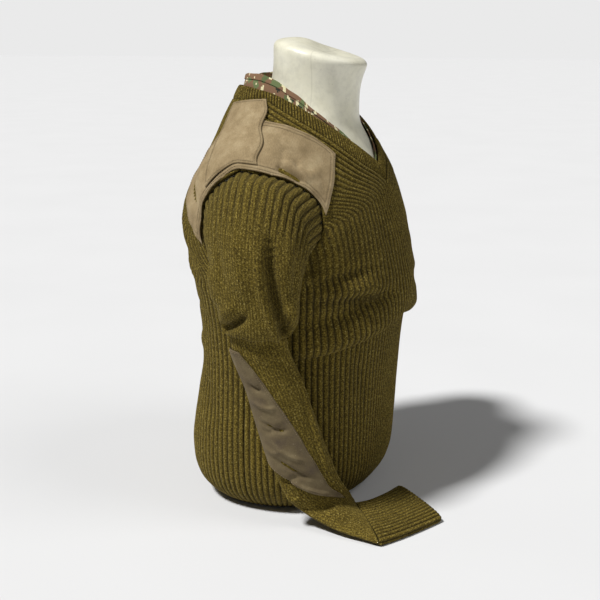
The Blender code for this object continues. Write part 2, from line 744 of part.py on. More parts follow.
def build_sweater():
    """Build every piece into the object's collection."""
    clear_scene()
    collection = bpy.data.collections.new("army_sweater_on_dress_form")
    bpy.context.scene.collection.children.link(collection)
    build_form(collection)
    build_panel("front", FRONT, FRONT_V, collection)
    build_panel("back", BACK, len(BACK_ROWS), collection)
    build_neckband(collection)
    build_facing(collection)
    for word, side in SIDE.items():
        build_sleeve(word, collection)
        build_cuff(word, collection)
        build_on_shoulder(f"shoulder_patch_{word}", SHOULDER_PATCH, side, PATCH_LIFT, PATCH_WALL, 5, 13, collection)
        build_on_shoulder(f"epaulette_{word}", EPAULETTE, side, STRAP_LIFT, STRAP_WALL, 6, 7, collection)
        build_elbow(word, collection)


build_sweater()
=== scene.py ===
"""Army sweater worn on a limbless dress form: the dressed scene.

The wearer faces -Y and the wearer's right side is -X. Tables are in millimetres and degrees, meshes in
metres. A place on the body is a turn and a height: the turn is 0 at the centre front, 90 at the
wearer's left side, -90 at the right side and 180 at the centre back.
"""

import logging
import math
from dataclasses import dataclass, field
from enum import Enum
from typing import Callable

import bmesh
import bpy
import numpy as np
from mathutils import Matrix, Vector


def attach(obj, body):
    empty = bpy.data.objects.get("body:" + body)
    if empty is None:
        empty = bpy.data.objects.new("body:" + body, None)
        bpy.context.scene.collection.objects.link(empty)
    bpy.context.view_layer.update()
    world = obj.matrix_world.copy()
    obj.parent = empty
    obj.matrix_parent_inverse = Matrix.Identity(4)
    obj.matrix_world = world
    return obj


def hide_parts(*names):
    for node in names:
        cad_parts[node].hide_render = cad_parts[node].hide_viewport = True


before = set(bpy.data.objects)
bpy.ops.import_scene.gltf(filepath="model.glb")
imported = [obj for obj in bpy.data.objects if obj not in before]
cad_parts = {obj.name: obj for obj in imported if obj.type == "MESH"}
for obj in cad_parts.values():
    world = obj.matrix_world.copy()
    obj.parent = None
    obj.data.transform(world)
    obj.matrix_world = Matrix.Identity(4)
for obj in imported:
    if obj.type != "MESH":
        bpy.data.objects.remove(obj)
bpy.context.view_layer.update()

Array = np.ndarray
MM = 0.001
BODY = "root"
LOG = logging.getLogger("sweater")


class Side(Enum):
    """A side of the wearer, as the sign of its X."""

    RIGHT = -1
    LEFT = 1

    @property
    def word(self) -> str:
        """The side's name in a piece's name."""
        return self.name.lower()

    @property
    def flip(self) -> Array:
        """What the left side's points are multiplied by to lie on this side."""
        return np.array([self.value, 1.0, 1.0])


def smooth(at: Array | float, places: Array | list, values: Array | list) -> Array:
    """Read the smooth curve, with no overshoot, through a table's points.

    Args:
        at: Where to read it.
        places: The table's places, rising.
        values: The value at each place.

    Returns:
        The values, in the shape of at.
    """
    places = np.asarray(places, float)
    values = np.asarray(values, float)
    at = np.clip(np.asarray(at, float), places[0], places[-1])
    step = np.diff(places)
    rise = np.diff(values) / step
    both = rise[1:] * rise[:-1]
    total = np.where(both > 0, rise[1:] + rise[:-1], 1)
    slope = np.concatenate(([rise[0]], np.where(both > 0, 2 * both / total, 0), [rise[-1]]))
    cell = np.clip(np.searchsorted(places, at, side="right") - 1, 0, len(step) - 1)
    t = (at - places[cell]) / step[cell]
    start = (1 + 2 * t) * (1 - t) ** 2 * values[cell] + t * (1 - t) ** 2 * step[cell] * slope[cell]
    end = t * t * (3 - 2 * t) * values[cell + 1] + t * t * (t - 1) * step[cell] * slope[cell + 1]
    return start + end


def column(table: tuple, name: str) -> list:
    """One named column of a table."""
    return [getattr(row, name) for row in table]


def read(table: tuple, name: str, at: Array | float) -> Array:
    """A table's column, read smoothly at a row number that may lie between two rows."""
    return smooth(at, range(len(table)), column(table, name))


def ease(low: float, high: float, at: Array | float) -> Array:
    """A soft step from 0 at low to 1 at high.

    Args:
        low: Where it starts.
        high: Where it ends.
        at: Where to read it.

    Returns:
        The step's values, in the shape of at.
    """
    t = np.clip((np.asarray(at, float) - low) / (high - low), 0, 1)
    return t * t * (3 - 2 * t)


def unit(vectors: Array) -> Array:
    """Vectors of length one."""
    return vectors / np.maximum(np.linalg.norm(vectors, axis=-1, keepdims=True), 1e-12)


def lengths_along(line: Array) -> Array:
    """The distance along a line from its start to each of its points."""
    return np.concatenate(([0], np.cumsum(np.linalg.norm(np.diff(line, axis=0), axis=1))))


def read_line(line: Array, lengths: Array, wanted: Array) -> Array:
    """A line's points, or what else it holds for each, at wanted lengths along it."""
    return np.stack([np.interp(wanted, lengths, line[:, axis]) for axis in range(3)], -1)


def normals_of(points: Array, closed: bool) -> Array:
    """Unit normals of a grid of points.

    Args:
        points: The grid, rows by columns by 3.
        closed: Whether each row is a ring.

    Returns:
        The normals, in the grid's shape, by the right hand from along a row to across the rows.
    """
    if closed:
        along = np.roll(points, -1, axis=1) - np.roll(points, 1, axis=1)
    else:
        along = np.gradient(points, axis=1)
    return unit(np.cross(along, np.gradient(points, axis=0)))


def tube_normals(points: Array) -> Array:
    """Unit normals of a tube's grid of points.

    Args:
        points: The grid, each row a ring.

    Returns:
        The normals, pointing away from the middle of the tube.
    """
    normal = normals_of(points, closed=True)
    outwards = np.sum(normal * (points - points.mean(axis=1, keepdims=True)))
    return normal if outwards >= 0 else -normal


def girth_along(points: Array) -> Array:
    """How far round its ring each point of a tube's grid lies from the ring's start."""
    steps = np.linalg.norm(np.diff(points, axis=1, append=points[:, :1]), axis=-1)
    return np.cumsum(steps, axis=1) - steps


def rib_profile(phase: Array, fullness: float) -> Array:
    """The height of a rounded rib with a narrow groove each side, from 0 to 1.

    Args:
        phase: Counts ribs; whole numbers are the grooves.
        fullness: Below 1 the rib is flat with narrow grooves, and at 1 it is a plain wave.

    Returns:
        The heights.
    """
    return np.abs(np.sin(np.pi * phase)) ** fullness


@dataclass(frozen=True)
class Crease:
    """A soft trough or ridge laid on the cloth.

    Attributes:
        path: Its points, in the piece's own two directions.
        depth: How far it moves the cloth out at its middle, in mm; below zero it is a trough.
        width: Its half width, in mm.
        tail: The share of its length over which each end fades.
    """

    path: tuple
    depth: float
    width: float
    tail: float = 0.35


def crease_field(points: Array, creases: tuple, place: Callable[[Array], Array]) -> Array:
    """How far the creases move each point out.

    Args:
        points: The cloth's points, in mm.
        creases: The creases.
        place: Gives the cloth's points, in mm, at places in the piece's two directions.

    Returns:
        The distances in mm, one for each point.
    """
    flat = points.reshape(-1, 3)
    total = np.zeros(len(flat))
    share = np.linspace(0, 1, 25)
    for crease in creases:
        path = np.asarray(crease.path, float)
        knots = np.linspace(0, 1, len(path))
        first = smooth(share, knots, path[:, 0])
        second = smooth(share, knots, path[:, 1])
        line = place(np.stack([first, second], -1))
        reach = 3 * crease.width
        near = np.all((flat > line.min(0) - reach) & (flat < line.max(0) + reach), axis=1)
        if not near.any():
            continue
        away = np.linalg.norm(flat[near][:, None, :] - line[None, :, :], axis=-1)
        nearest = np.argmin(away, axis=1)
        fade = ease(0, crease.tail, share) * ease(0, crease.tail, 1 - share)
        bell = np.exp(-((away[np.arange(len(away)), nearest] / crease.width) ** 2))
        total[near] += crease.depth * bell * (0.1 + 0.9 * fade[nearest])
    return total.reshape(points.shape[:-1])


class Cloth:
    """A piece's points, faces, pattern coordinates and painted shade amounts, gathered while it is worked
    out.
    """

    def __init__(self) -> None:
        """Start with nothing gathered."""
        self.points: list = []
        self.patterns: list = []
        self.groove_shades: list = []
        self.faces: list = []

    def add(self, points: Array, pattern: Array | None = None, groove_shade: Array | None = None) -> Array:
        """Add points.

        Args:
            points: The points, in mm, in any shape that ends in 3.
            pattern: The cloth's own coordinates at each point, in metres.
            groove_shade: How deep in a rib's groove, a fold's trough or a seam each point lies, from 0 to
                1; the finishes paint it as shade.

        Returns:
            The points' numbers, in the shape of the points.
        """
        shape = points.shape[:-1]
        count = int(np.prod(shape))
        first = sum(len(part) for part in self.points)
        self.points.append(points.reshape(-1, 3) * MM)
        self.patterns.append(np.zeros((count, 2)) if pattern is None else pattern.reshape(-1, 2))
        self.groove_shades.append(np.zeros(count) if groove_shade is None else groove_shade.reshape(-1))
        return first + np.arange(count).reshape(shape)

    def grid(self, numbers: Array, closed: bool = False) -> None:
        """Add the faces of a grid of points.

        Args:
            numbers: The grid's point numbers, rows by columns.
            closed: Whether each row is a ring.
        """
        right = np.roll(numbers, -1, axis=1) if closed else numbers[:, 1:]
        left = numbers if closed else numbers[:, :-1]
        quads = np.stack([left[:-1], right[:-1], right[1:], left[1:]], -1)
        self.faces.extend(quads.reshape(-1, 4).tolist())

    def stitch(self, one: Array, other: Array, one_keys: Array, other_keys: Array) -> None:
        """Join two rows of unlike counts.

        Args:
            one: The first row's point numbers.
            other: The second row's point numbers.
            one_keys: Where each point of the first row lies along it.
            other_keys: The same for the second row.
        """
        i = j = 0
        while i < len(one) - 1 or j < len(other) - 1:
            next_i = one_keys[i + 1] if i < len(one) - 1 else np.inf
            next_j = other_keys[j + 1] if j < len(other) - 1 else np.inf
            if next_i <= next_j:
                self.faces.append([int(one[i]), int(one[i + 1]), int(other[j])])
                i += 1
            else:
                self.faces.append([int(one[i]), int(other[j + 1]), int(other[j])])
                j += 1

    def shell(self, outer: Array, inner: Array, every: tuple, closed: bool) -> None:
        """Close an outer grid with a plain inner one.

        Args:
            outer: The outer grid's point numbers.
            inner: The inner grid's point numbers.
            every: How many of the outer grid's rows and columns go to one step of the inner.
            closed: Whether each row is a ring.
        """
        self.grid(outer, closed)
        self.grid(inner, closed)
        rows = np.minimum(np.arange(inner.shape[0]) * every[0], outer.shape[0] - 1)
        columns = np.minimum(np.arange(inner.shape[1]) * every[1], outer.shape[1] - 1)
        for edge in (0, -1):
            if closed:
                one = np.append(outer[edge], outer[edge][0])
                other = np.append(inner[edge], inner[edge][0])
                keys = np.append(columns, outer.shape[1])
            else:
                one, other, keys = outer[edge], inner[edge], columns
            self.stitch(one, other, np.arange(len(one)), keys)
            if not closed:
                self.stitch(outer[:, edge], inner[:, edge], np.arange(outer.shape[0]), rows)

    def build(self, name: str, merge: float = 0.0) -> bpy.types.Object:
        """Make the object.

        Args:
            name: The piece's name.
            merge: The distance, in metres, within which points become one.

        Returns:
            The object, smooth, its faces pointing out.
        """
        mesh = bpy.data.meshes.new(name)
        mesh.from_pydata(np.concatenate(self.points).tolist(), [], self.faces)
        # groove_shade is painted shade: the wool and drill finishes darken each point by it, in grooves,
        # fold troughs and seams.
        groove_shade = mesh.attributes.new("groove_shade", "FLOAT", "POINT")
        groove_shade.data.foreach_set("value", np.concatenate(self.groove_shades).astype(np.float32))
        layer = mesh.uv_layers.new(name="cloth")
        corners = np.zeros(len(mesh.loops), int)
        mesh.loops.foreach_get("vertex_index", corners)
        layer.data.foreach_set("uv", np.concatenate(self.patterns)[corners].astype(np.float32).ravel())
        work = bmesh.new()
        work.from_mesh(mesh)
        if merge:
            bmesh.ops.remove_doubles(work, verts=work.verts, dist=merge)
        bmesh.ops.recalc_face_normals(work, faces=work.faces)
        work.to_mesh(mesh)
        work.free()
        mesh.shade_smooth()
        piece = bpy.data.objects.new(name, mesh)
        bpy.context.scene.collection.objects.link(piece)
        return piece


def stitches(name: str, lines: list, pitch: float = 3.4, length: float = 2.5,
             thick: float = 0.7) -> bpy.types.Object:
    """Rows of sewing stitches lying along lines on the cloth.

    Args:
        name: The piece's name.
        lines: For each row its points, in mm, and the way up from the cloth at each.
        pitch: From one stitch to the next, in mm.
        length: A stitch's length, in mm.
        thick: The thread's thickness, in mm.

    Returns:
        The joined stitches.
    """
    work = Cloth()
    turn = np.radians(np.arange(5) * 72)
    for line, facing in lines:
        lengths = lengths_along(line)
        for centre in np.arange(pitch, lengths[-1] - pitch / 2, pitch):
            ends = np.linspace(centre - length / 2, centre + length / 2, 4)
            middle = read_line(line, lengths, ends)
            up = unit(read_line(facing, lengths, ends))
            aside = unit(np.cross(unit(np.gradient(middle, axis=0)), up))
            taper = np.array([0.3, 1.0, 1.0, 0.3])[:, None, None] * thick / 2
            arch = np.array([-0.3, 0.35, 0.35, -0.3])[:, None] * thick
            ring = aside[:, None] * np.cos(turn)[None, :, None] + up[:, None] * np.sin(turn)[None, :, None]
            numbers = work.add((middle + up * arch)[:, None] + ring * taper)
            work.grid(numbers, closed=True)
            work.faces.append(numbers[0].tolist())
            work.faces.append(numbers[-1].tolist())
    return work.build(name)


def linear(code: str) -> tuple:
    """The linear colour of an sRGB hex value such as "#5d5022"."""
    values = [int(code[start:start + 2], 16) / 255 for start in (1, 3, 5)]
    return tuple(v / 12.92 if v <= 0.04045 else ((v + 0.055) / 1.055) ** 2.4 for v in values) + (1.0,)


def add_node(tree: bpy.types.NodeTree, kind: str, settings: dict | None = None,
             links: dict | None = None) -> bpy.types.Node:
    """Add a node with its settings and links.

    Args:
        tree: The material's node tree.
        kind: The node's type name.
        settings: A property's name, or an input's name or number, to its value.
        links: An input's name or number to the output that feeds it.

    Returns:
        The node.
    """
    node = tree.nodes.new(kind)
    for name, value in (settings or {}).items():
        if isinstance(name, str) and hasattr(node, name):
            setattr(node, name, value)
        else:
            node.inputs[name].default_value = value
    for name, output in (links or {}).items():
        tree.links.new(output, node.inputs[name])
    return node


def ramp(tree: bpy.types.NodeTree, source: bpy.types.NodeSocket, stops: tuple,
         interpolation: str = "LINEAR") -> bpy.types.NodeSocket:
    """Turn a value to colours.

    Args:
        tree: The material's node tree.
        source: The value's output.
        stops: Pairs of a place from 0 to 1 and a linear colour.
        interpolation: The ramp's interpolation.

    Returns:
        The colour's output.
    """
    node = add_node(tree, "ShaderNodeValToRGB", links={0: source})
    node.color_ramp.interpolation = interpolation
    while len(node.color_ramp.elements) < len(stops):
        node.color_ramp.elements.new(0.5)
    for element, (place, colour) in zip(node.color_ramp.elements, stops):
        element.position = place
        element.color = colour
    return node.outputs[0]


def grey(value: float) -> tuple:
    """A grey for a ramp."""
    return (value, value, value, 1.0)


class Finish:
    """A material that is made once and put on its pieces."""

    name = "finish"

    def __init__(self) -> None:
        """Make the material and draw its nodes."""
        self.material = bpy.data.materials.new(self.name)
        self.material.use_nodes = True
        self.tree = self.material.node_tree
        self.shader = self.tree.nodes["Principled BSDF"]
        self.draw()

    def draw(self) -> None:
        """Add the material's nodes."""

    def calc(self, operation: str, *values: float | bpy.types.NodeSocket) -> bpy.types.NodeSocket:
        """One step of arithmetic on numbers and outputs.

        Args:
            operation: The arithmetic.
            *values: Numbers and outputs, in order.

        Returns:
            The result's output.
        """
        numbers = {i: v for i, v in enumerate(values) if not isinstance(v, bpy.types.NodeSocket)}
        links = {i: v for i, v in enumerate(values) if isinstance(v, bpy.types.NodeSocket)}
        settings = {"operation": operation, **numbers}
        return add_node(self.tree, "ShaderNodeMath", settings, links).outputs[0]

    def mix(self, factor: float | bpy.types.NodeSocket, one: tuple | bpy.types.NodeSocket,
            other: tuple | bpy.types.NodeSocket, blend: str = "MIX") -> bpy.types.NodeSocket:
        """Mix two colours.

        Args:
            factor: The share of the other colour, a number or an output.
            one: A colour or its output.
            other: The other colour or its output.
            blend: How they are blended.

        Returns:
            The mixed colour's output.
        """
        node = add_node(self.tree, "ShaderNodeMix", {"data_type": "RGBA", "blend_type": blend})
        for place, value in ((0, factor), (6, one), (7, other)):
            if isinstance(value, bpy.types.NodeSocket):
                self.tree.links.new(value, node.inputs[place])
            else:
                node.inputs[place].default_value = value
        return node.outputs[2]

    def noise(self, vector: bpy.types.NodeSocket, scale: float, detail: float = 2.0,
              roughness: float = 0.5) -> bpy.types.NodeSocket:
        """A noise pattern's value.

        Args:
            vector: The pattern's coordinates.
            scale: Features to a metre.
            detail: How many finer layers it has.
            roughness: How strong those are.

        Returns:
            The value's output.
        """
        settings = {"Scale": scale, "Detail": detail, "Roughness": roughness}
        return add_node(self.tree, "ShaderNodeTexNoise", settings, {"Vector": vector}).outputs[0]

    def stretch(self, vector: bpy.types.NodeSocket, scale: tuple) -> bpy.types.NodeSocket:
        """A pattern's coordinates scaled unevenly.

        Args:
            vector: The coordinates.
            scale: The factor for each axis.

        Returns:
            The new coordinates.
        """
        settings = {"operation": "MULTIPLY", 1: scale}
        return add_node(self.tree, "ShaderNodeVectorMath", settings, {0: vector}).outputs[0]

    def bump(self, height: bpy.types.NodeSocket, distance: float, strength: float,
             below: bpy.types.NodeSocket | None = None) -> bpy.types.NodeSocket:
        """Relief from a height, over another relief.

        Args:
            height: The relief's height, from 0 to 1.
            distance: What 1 stands for, in metres.
            strength: How strongly it shows.
            below: The relief that it lies over, if any.

        Returns:
            The shading normal's output.
        """
        links = {"Height": height}
        if below is not None:
            links["Normal"] = below
        settings = {"Distance": distance, "Strength": strength}
        return add_node(self.tree, "ShaderNodeBump", settings, links).outputs[0]

    def wear(self, piece: bpy.types.Object) -> None:
        """Put the finish on a piece.

        Args:
            piece: The piece to dress.
        """
        piece.data.materials.clear()
        piece.data.materials.append(self.material)


class RibKnitWool(Finish):
    """Olive carded wool, spun from fibres of several tints and knitted in ribs.

    The tints give a fine light and dark fleck, the wales of loops a fine lengthwise line, and the loose
    fibres a soft sheen at grazing angles. Grooves between ribs hold less light. The fleck is drawn near
    The tints give a fine light and dark fleck, the wales of loops a fine lengthwise line, and the loose
    fibres a soft sheen at grazing angles. Shade is painted into the colour: darker at the edges of each
    wale, in the grooves between ribs and in the troughs of folds. The fleck is drawn near 2 mm, where the
    yarn's own is under 1 mm, because it would not show.
    """

    name = "rib_knit_wool"
    wale = 3.5
    course = 3.0
    fleck = 1.9

    def draw(self) -> None:
        """Add the wool's nodes: fleck, wales, loops, a broad drift of tint and painted shade in grooves and
        folds.
        """
        tree = self.tree
        pattern = add_node(tree, "ShaderNodeUVMap", {"uv_map": "cloth"}).outputs[0]
        solid = add_node(tree, "ShaderNodeTexCoord").outputs["Object"]
        groove_shade = add_node(tree, "ShaderNodeAttribute", {"attribute_name": "groove_shade"}).outputs["Fac"]
        split = add_node(tree, "ShaderNodeSeparateXYZ", links={0: pattern})
        half_wale = self.wale * MM / 2
        across = self.calc("PINGPONG", split.outputs[0], half_wale)
        wale_round = self.calc("SQRT", self.calc("DIVIDE", across, half_wale))
        lean = self.calc("MULTIPLY", across, 2 * math.pi * 0.45 / half_wale)
        along = self.calc("MULTIPLY", split.outputs[1], 2 * math.pi / (self.course * MM))
        loops = self.calc("MULTIPLY_ADD", self.calc("SINE", self.calc("ADD", along, lean)), 0.5, 0.5)
        fine = self.noise(solid, 1.0 / (self.fleck * MM), 3.0, 0.75)
        streak = self.noise(self.stretch(pattern, (620.0, 260.0, 1.0)), 1.0, 2.0, 0.6)
        broad = self.noise(solid, 11.0, 3.0, 0.55)
        wool = ramp(tree, fine, (
            (0.30, linear("#211a06")), (0.43, linear("#4a3d0e")), (0.53, linear("#67571c")),
            (0.63, linear("#897836")), (0.76, linear("#cabc82"))))
        shade = ramp(tree, streak, ((0.3, grey(0.72)), (0.5, grey(0.98)), (0.72, grey(1.25))))
        wool = self.mix(1.0, wool, shade, "MULTIPLY")
        drift = ramp(tree, broad, ((0.3, grey(0.86)), (0.7, grey(1.1))))
        wool = self.mix(1.0, wool, drift, "MULTIPLY")
        # Painted shade: darker towards each wale's edge, where the ribs meet in a groove.
        wale_edge_shade = self.calc("MULTIPLY", self.calc("SUBTRACT", 1.0, wale_round), 0.62)
        wool = self.mix(wale_edge_shade, wool, linear("#2a2108"))
        # Painted shade: darkened towards near-black by the groove_shade attribute, in rib grooves and fold
        # troughs.
        wool = self.mix(self.calc("MULTIPLY", groove_shade, 0.72), wool, linear("#151004"))
        fuzz = self.noise(solid, 700.0, 2.0, 0.6)
        relief = self.bump(fuzz, 0.0007, 0.3)
        relief = self.bump(loops, 0.0004, 0.3, relief)
        relief = self.bump(wale_round, 0.0008, 0.6, relief)
        tree.links.new(wool, self.shader.inputs["Base Color"])
        tree.links.new(relief, self.shader.inputs["Normal"])
        self.shader.inputs["Roughness"].default_value = 0.93
        self.shader.inputs["Specular IOR Level"].default_value = 0.2
        self.shader.inputs["Sheen Weight"].default_value = 0.16
        self.shader.inputs["Sheen Roughness"].default_value = 0.5
        self.shader.inputs["Sheen Tint"].default_value = linear("#a89755")


class CottonDrill(Finish):
    """Taupe piece-dyed cotton drill, woven in a steep twill and washed.

    The twill gives a fine slanting rib, and washing leaves it paler and a little uneven, with small
    specks of lint.
    """

    name = "cotton_drill"
    twill = 1.5
    tints = ("#7f6d4e", "#93805f", "#a69472")

    def draw(self) -> None:
        """Add the drill's nodes: twill, uneven dye, lint and painted shade in folds and along seams."""
        tree = self.tree
        pattern = add_node(tree, "ShaderNodeUVMap", {"uv_map": "cloth"}).outputs[0]
        solid = add_node(tree, "ShaderNodeTexCoord").outputs["Object"]
        groove_shade = add_node(tree, "ShaderNodeAttribute", {"attribute_name": "groove_shade"}).outputs["Fac"]
        split = add_node(tree, "ShaderNodeSeparateXYZ", links={0: pattern})
        slant = self.calc("MULTIPLY_ADD", split.outputs[0], 1.7, split.outputs[1])
        lines = self.calc("SINE", self.calc("MULTIPLY", slant, 2 * math.pi / (self.twill * MM)))
        dye = self.noise(solid, 42.0, 4.0, 0.6)
        thread = self.noise(self.stretch(pattern, (900.0, 260.0, 1.0)), 1.0, 2.0, 0.6)
        cloth = ramp(tree, dye, (
            (0.28, linear(self.tints[0])), (0.5, linear(self.tints[1])), (0.72, linear(self.tints[2]))))
        grain = ramp(tree, thread, ((0.3, grey(0.84)), (0.7, grey(1.12))))
        cloth = self.mix(1.0, cloth, grain, "MULTIPLY")
        lint = ramp(tree, self.noise(solid, 620.0, 1.0, 0.4), ((0.74, grey(0.0)), (0.79, grey(1.0))))
        cloth = self.mix(self.calc("MULTIPLY", lint, 0.35), cloth, linear("#c9bb9d"), "MIX")
        # Painted shade: darkened by the groove_shade attribute in the patch's fold troughs and along its
        # seam rows.
        cloth = self.mix(self.calc("MULTIPLY", groove_shade, 0.8), cloth, linear("#2c2214"), "MIX")
        height = self.calc("MULTIPLY_ADD", lines, 0.5, 0.5)
        relief = self.bump(height, 0.00022, 0.5)
        relief = self.bump(self.noise(solid, 130.0, 3.0, 0.6), 0.0015, 0.22, relief)
        tree.links.new(cloth, self.shader.inputs["Base Color"])
        tree.links.new(relief, self.shader.inputs["Normal"])
        self.shader.inputs["Roughness"].default_value = 0.86
        self.shader.inputs["Specular IOR Level"].default_value = 0.22
        self.shader.inputs["Sheen Weight"].default_value = 0.12
        self.shader.inputs["Sheen Tint"].default_value = linear("#cbbd9f")


class ShadedDrill(CottonDrill):
    """The same drill on the elbows, its tints darker as painted shade, for the elbows lie in shade."""

    name = "cotton_drill_elbow"
    # Darker copies of the drill's tints: painted shade.
    tints = ("#55493a", "#65583f", "#776a4e")


class CamouflageCotton(Finish):
    """Plain-woven cotton printed with a blocky camouflage of four tints.

    The print is made of small squares, so its patches have stepped edges, and the ink leaves the cloth
    matt.
    """

    name = "camouflage_cotton"
    square = 2.4

    def draw(self) -> None:
        """Add the print's nodes: squares that take their tint from three broad patterns."""
        tree = self.tree
        pattern = add_node(tree, "ShaderNodeUVMap", {"uv_map": "cloth"}).outputs[0]
        step = (self.square * MM,) * 3
        snap = {"operation": "SNAP", 1: step}
        squares = add_node(tree, "ShaderNodeVectorMath", snap, {0: pattern}).outputs[0]
        first = self.noise(squares, 34.0, 1.0, 0.5)
        second = self.noise(self.stretch(squares, (1.0, 1.3, 1.0)), 52.0, 1.0, 0.5)
        third = self.noise(self.stretch(squares, (1.5, 1.0, 1.0)), 74.0, 1.0, 0.5)
        print_tint = ramp(tree, first, (
            (0.0, linear("#5a6540")), (0.41, linear("#7b5e46")), (0.6, linear("#66724a"))), "CONSTANT")
        dark_print_and_shade = ramp(tree, second, ((0.0, grey(0.0)), (0.64, grey(1.0))), "CONSTANT")
        pale = ramp(tree, third, ((0.0, grey(0.0)), (0.6, grey(1.0))), "CONSTANT")
        print_tint = self.mix(dark_print_and_shade, print_tint, linear("#2c2f25"))
        print_tint = self.mix(pale, print_tint, linear("#d9d0a6"))
        weave = self.noise(self.stretch(pattern, (1500.0, 1500.0, 1.0)), 1.0, 1.0, 0.5)
        grain = ramp(tree, weave, ((0.3, grey(0.88)), (0.7, grey(1.08))))
        print_tint = self.mix(1.0, print_tint, grain, "MULTIPLY")
        tree.links.new(print_tint, self.shader.inputs["Base Color"])
        tree.links.new(self.bump(weave, 0.0004, 0.4), self.shader.inputs["Normal"])
        self.shader.inputs["Roughness"].default_value = 0.85
        self.shader.inputs["Specular IOR Level"].default_value = 0.25


class SewingThread(Finish):
    """Spun polyester sewing thread, twisted and a little shiny, a shade off the drill."""

    name = "sewing_thread"

    def draw(self) -> None:
        """Add the thread's nodes: a tint that wanders a little."""
        solid = add_node(self.tree, "ShaderNodeTexCoord").outputs["Object"]
        stops = ((0.3, linear("#6f5e40")), (0.7, linear("#93825f")))
        tint = ramp(self.tree, self.noise(solid, 300.0), stops)
        self.tree.links.new(tint, self.shader.inputs["Base Color"])
        self.shader.inputs["Roughness"].default_value = 0.6


class FormShell(Finish):
    """Moulded shell of the dress form, sprayed with off-white satin paint and handled for years.

    The paint is smooth with a soft gloss, a little yellowed, with faint smudges and small chips, and
    the mould has left a faint upright line.
    """

    name = "painted_form_shell"
    seam_at = -0.052
    seam_half = 0.0007

    def draw(self) -> None:
        """Add the paint's nodes: yellowing, smudges, chips, mould line and orange peel."""
        tree = self.tree
        solid = add_node(tree, "ShaderNodeTexCoord").outputs["Object"]
        broad = self.noise(solid, 16.0, 3.0, 0.55)
        fine = self.noise(solid, 95.0, 4.0, 0.65)
        paint = ramp(tree, broad, ((0.3, linear("#d6d2ba")), (0.7, linear("#e6e3d0"))))
        smudge = ramp(tree, fine, ((0.35, grey(0.9)), (0.55, grey(1.0)), (0.75, grey(1.02))))
        paint = self.mix(1.0, paint, smudge, "MULTIPLY")
        chips = ramp(tree, self.noise(solid, 210.0, 1.0, 0.4), ((0.755, grey(0.0)), (0.79, grey(1.0))))
        paint = self.mix(self.calc("MULTIPLY", chips, 0.4), paint, linear("#a89f82"))
        across = add_node(tree, "ShaderNodeSeparateXYZ", links={0: solid}).outputs[1]
        seam = self.calc("COMPARE", across, self.seam_at, self.seam_half)
        paint = self.mix(self.calc("MULTIPLY", seam, 0.16), paint, linear("#8f8870"))
        gloss = self.calc("MULTIPLY_ADD", fine, 0.22, 0.3)
        peel = self.bump(self.noise(solid, 260.0, 2.0, 0.5), 0.0006, 0.1)
        peel = self.bump(broad, 0.004, 0.12, peel)
        tree.links.new(paint, self.shader.inputs["Base Color"])
        tree.links.new(gloss, self.shader.inputs["Roughness"])
        tree.links.new(peel, self.shader.inputs["Normal"])
        self.shader.inputs["Coat Weight"].default_value = 0.15
        self.shader.inputs["Coat Roughness"].default_value = 0.3


class PaleFloor(Finish):
    """Matt white paper sweep of a product studio."""

    name = "paper_sweep"

    def draw(self) -> None:
        """Set the paper's tint."""
        solid = add_node(self.tree, "ShaderNodeTexCoord").outputs["Object"]
        stops = ((0.3, linear("#d3d3d3")), (0.7, linear("#d5d5d5")))
        tint = ramp(self.tree, self.noise(solid, 3.0), stops)
        self.tree.links.new(tint, self.shader.inputs["Base Color"])
        self.shader.inputs["Roughness"].default_value = 0.9


@dataclass
class Finishes:
    """Every material of the scene, made once."""

    wool: RibKnitWool = field(default_factory=RibKnitWool)
    drill: CottonDrill = field(default_factory=CottonDrill)
    shaded_drill: ShadedDrill = field(default_factory=ShadedDrill)
    camouflage: CamouflageCotton = field(default_factory=CamouflageCotton)
    thread: SewingThread = field(default_factory=SewingThread)
    shell: FormShell = field(default_factory=FormShell)
    floor: PaleFloor = field(default_factory=PaleFloor)


@dataclass(frozen=True)
class Slice:
    """A level section of the clothed figure, in mm."""

    z: float
    half_width: float
    front: float
    back: float
    power: float


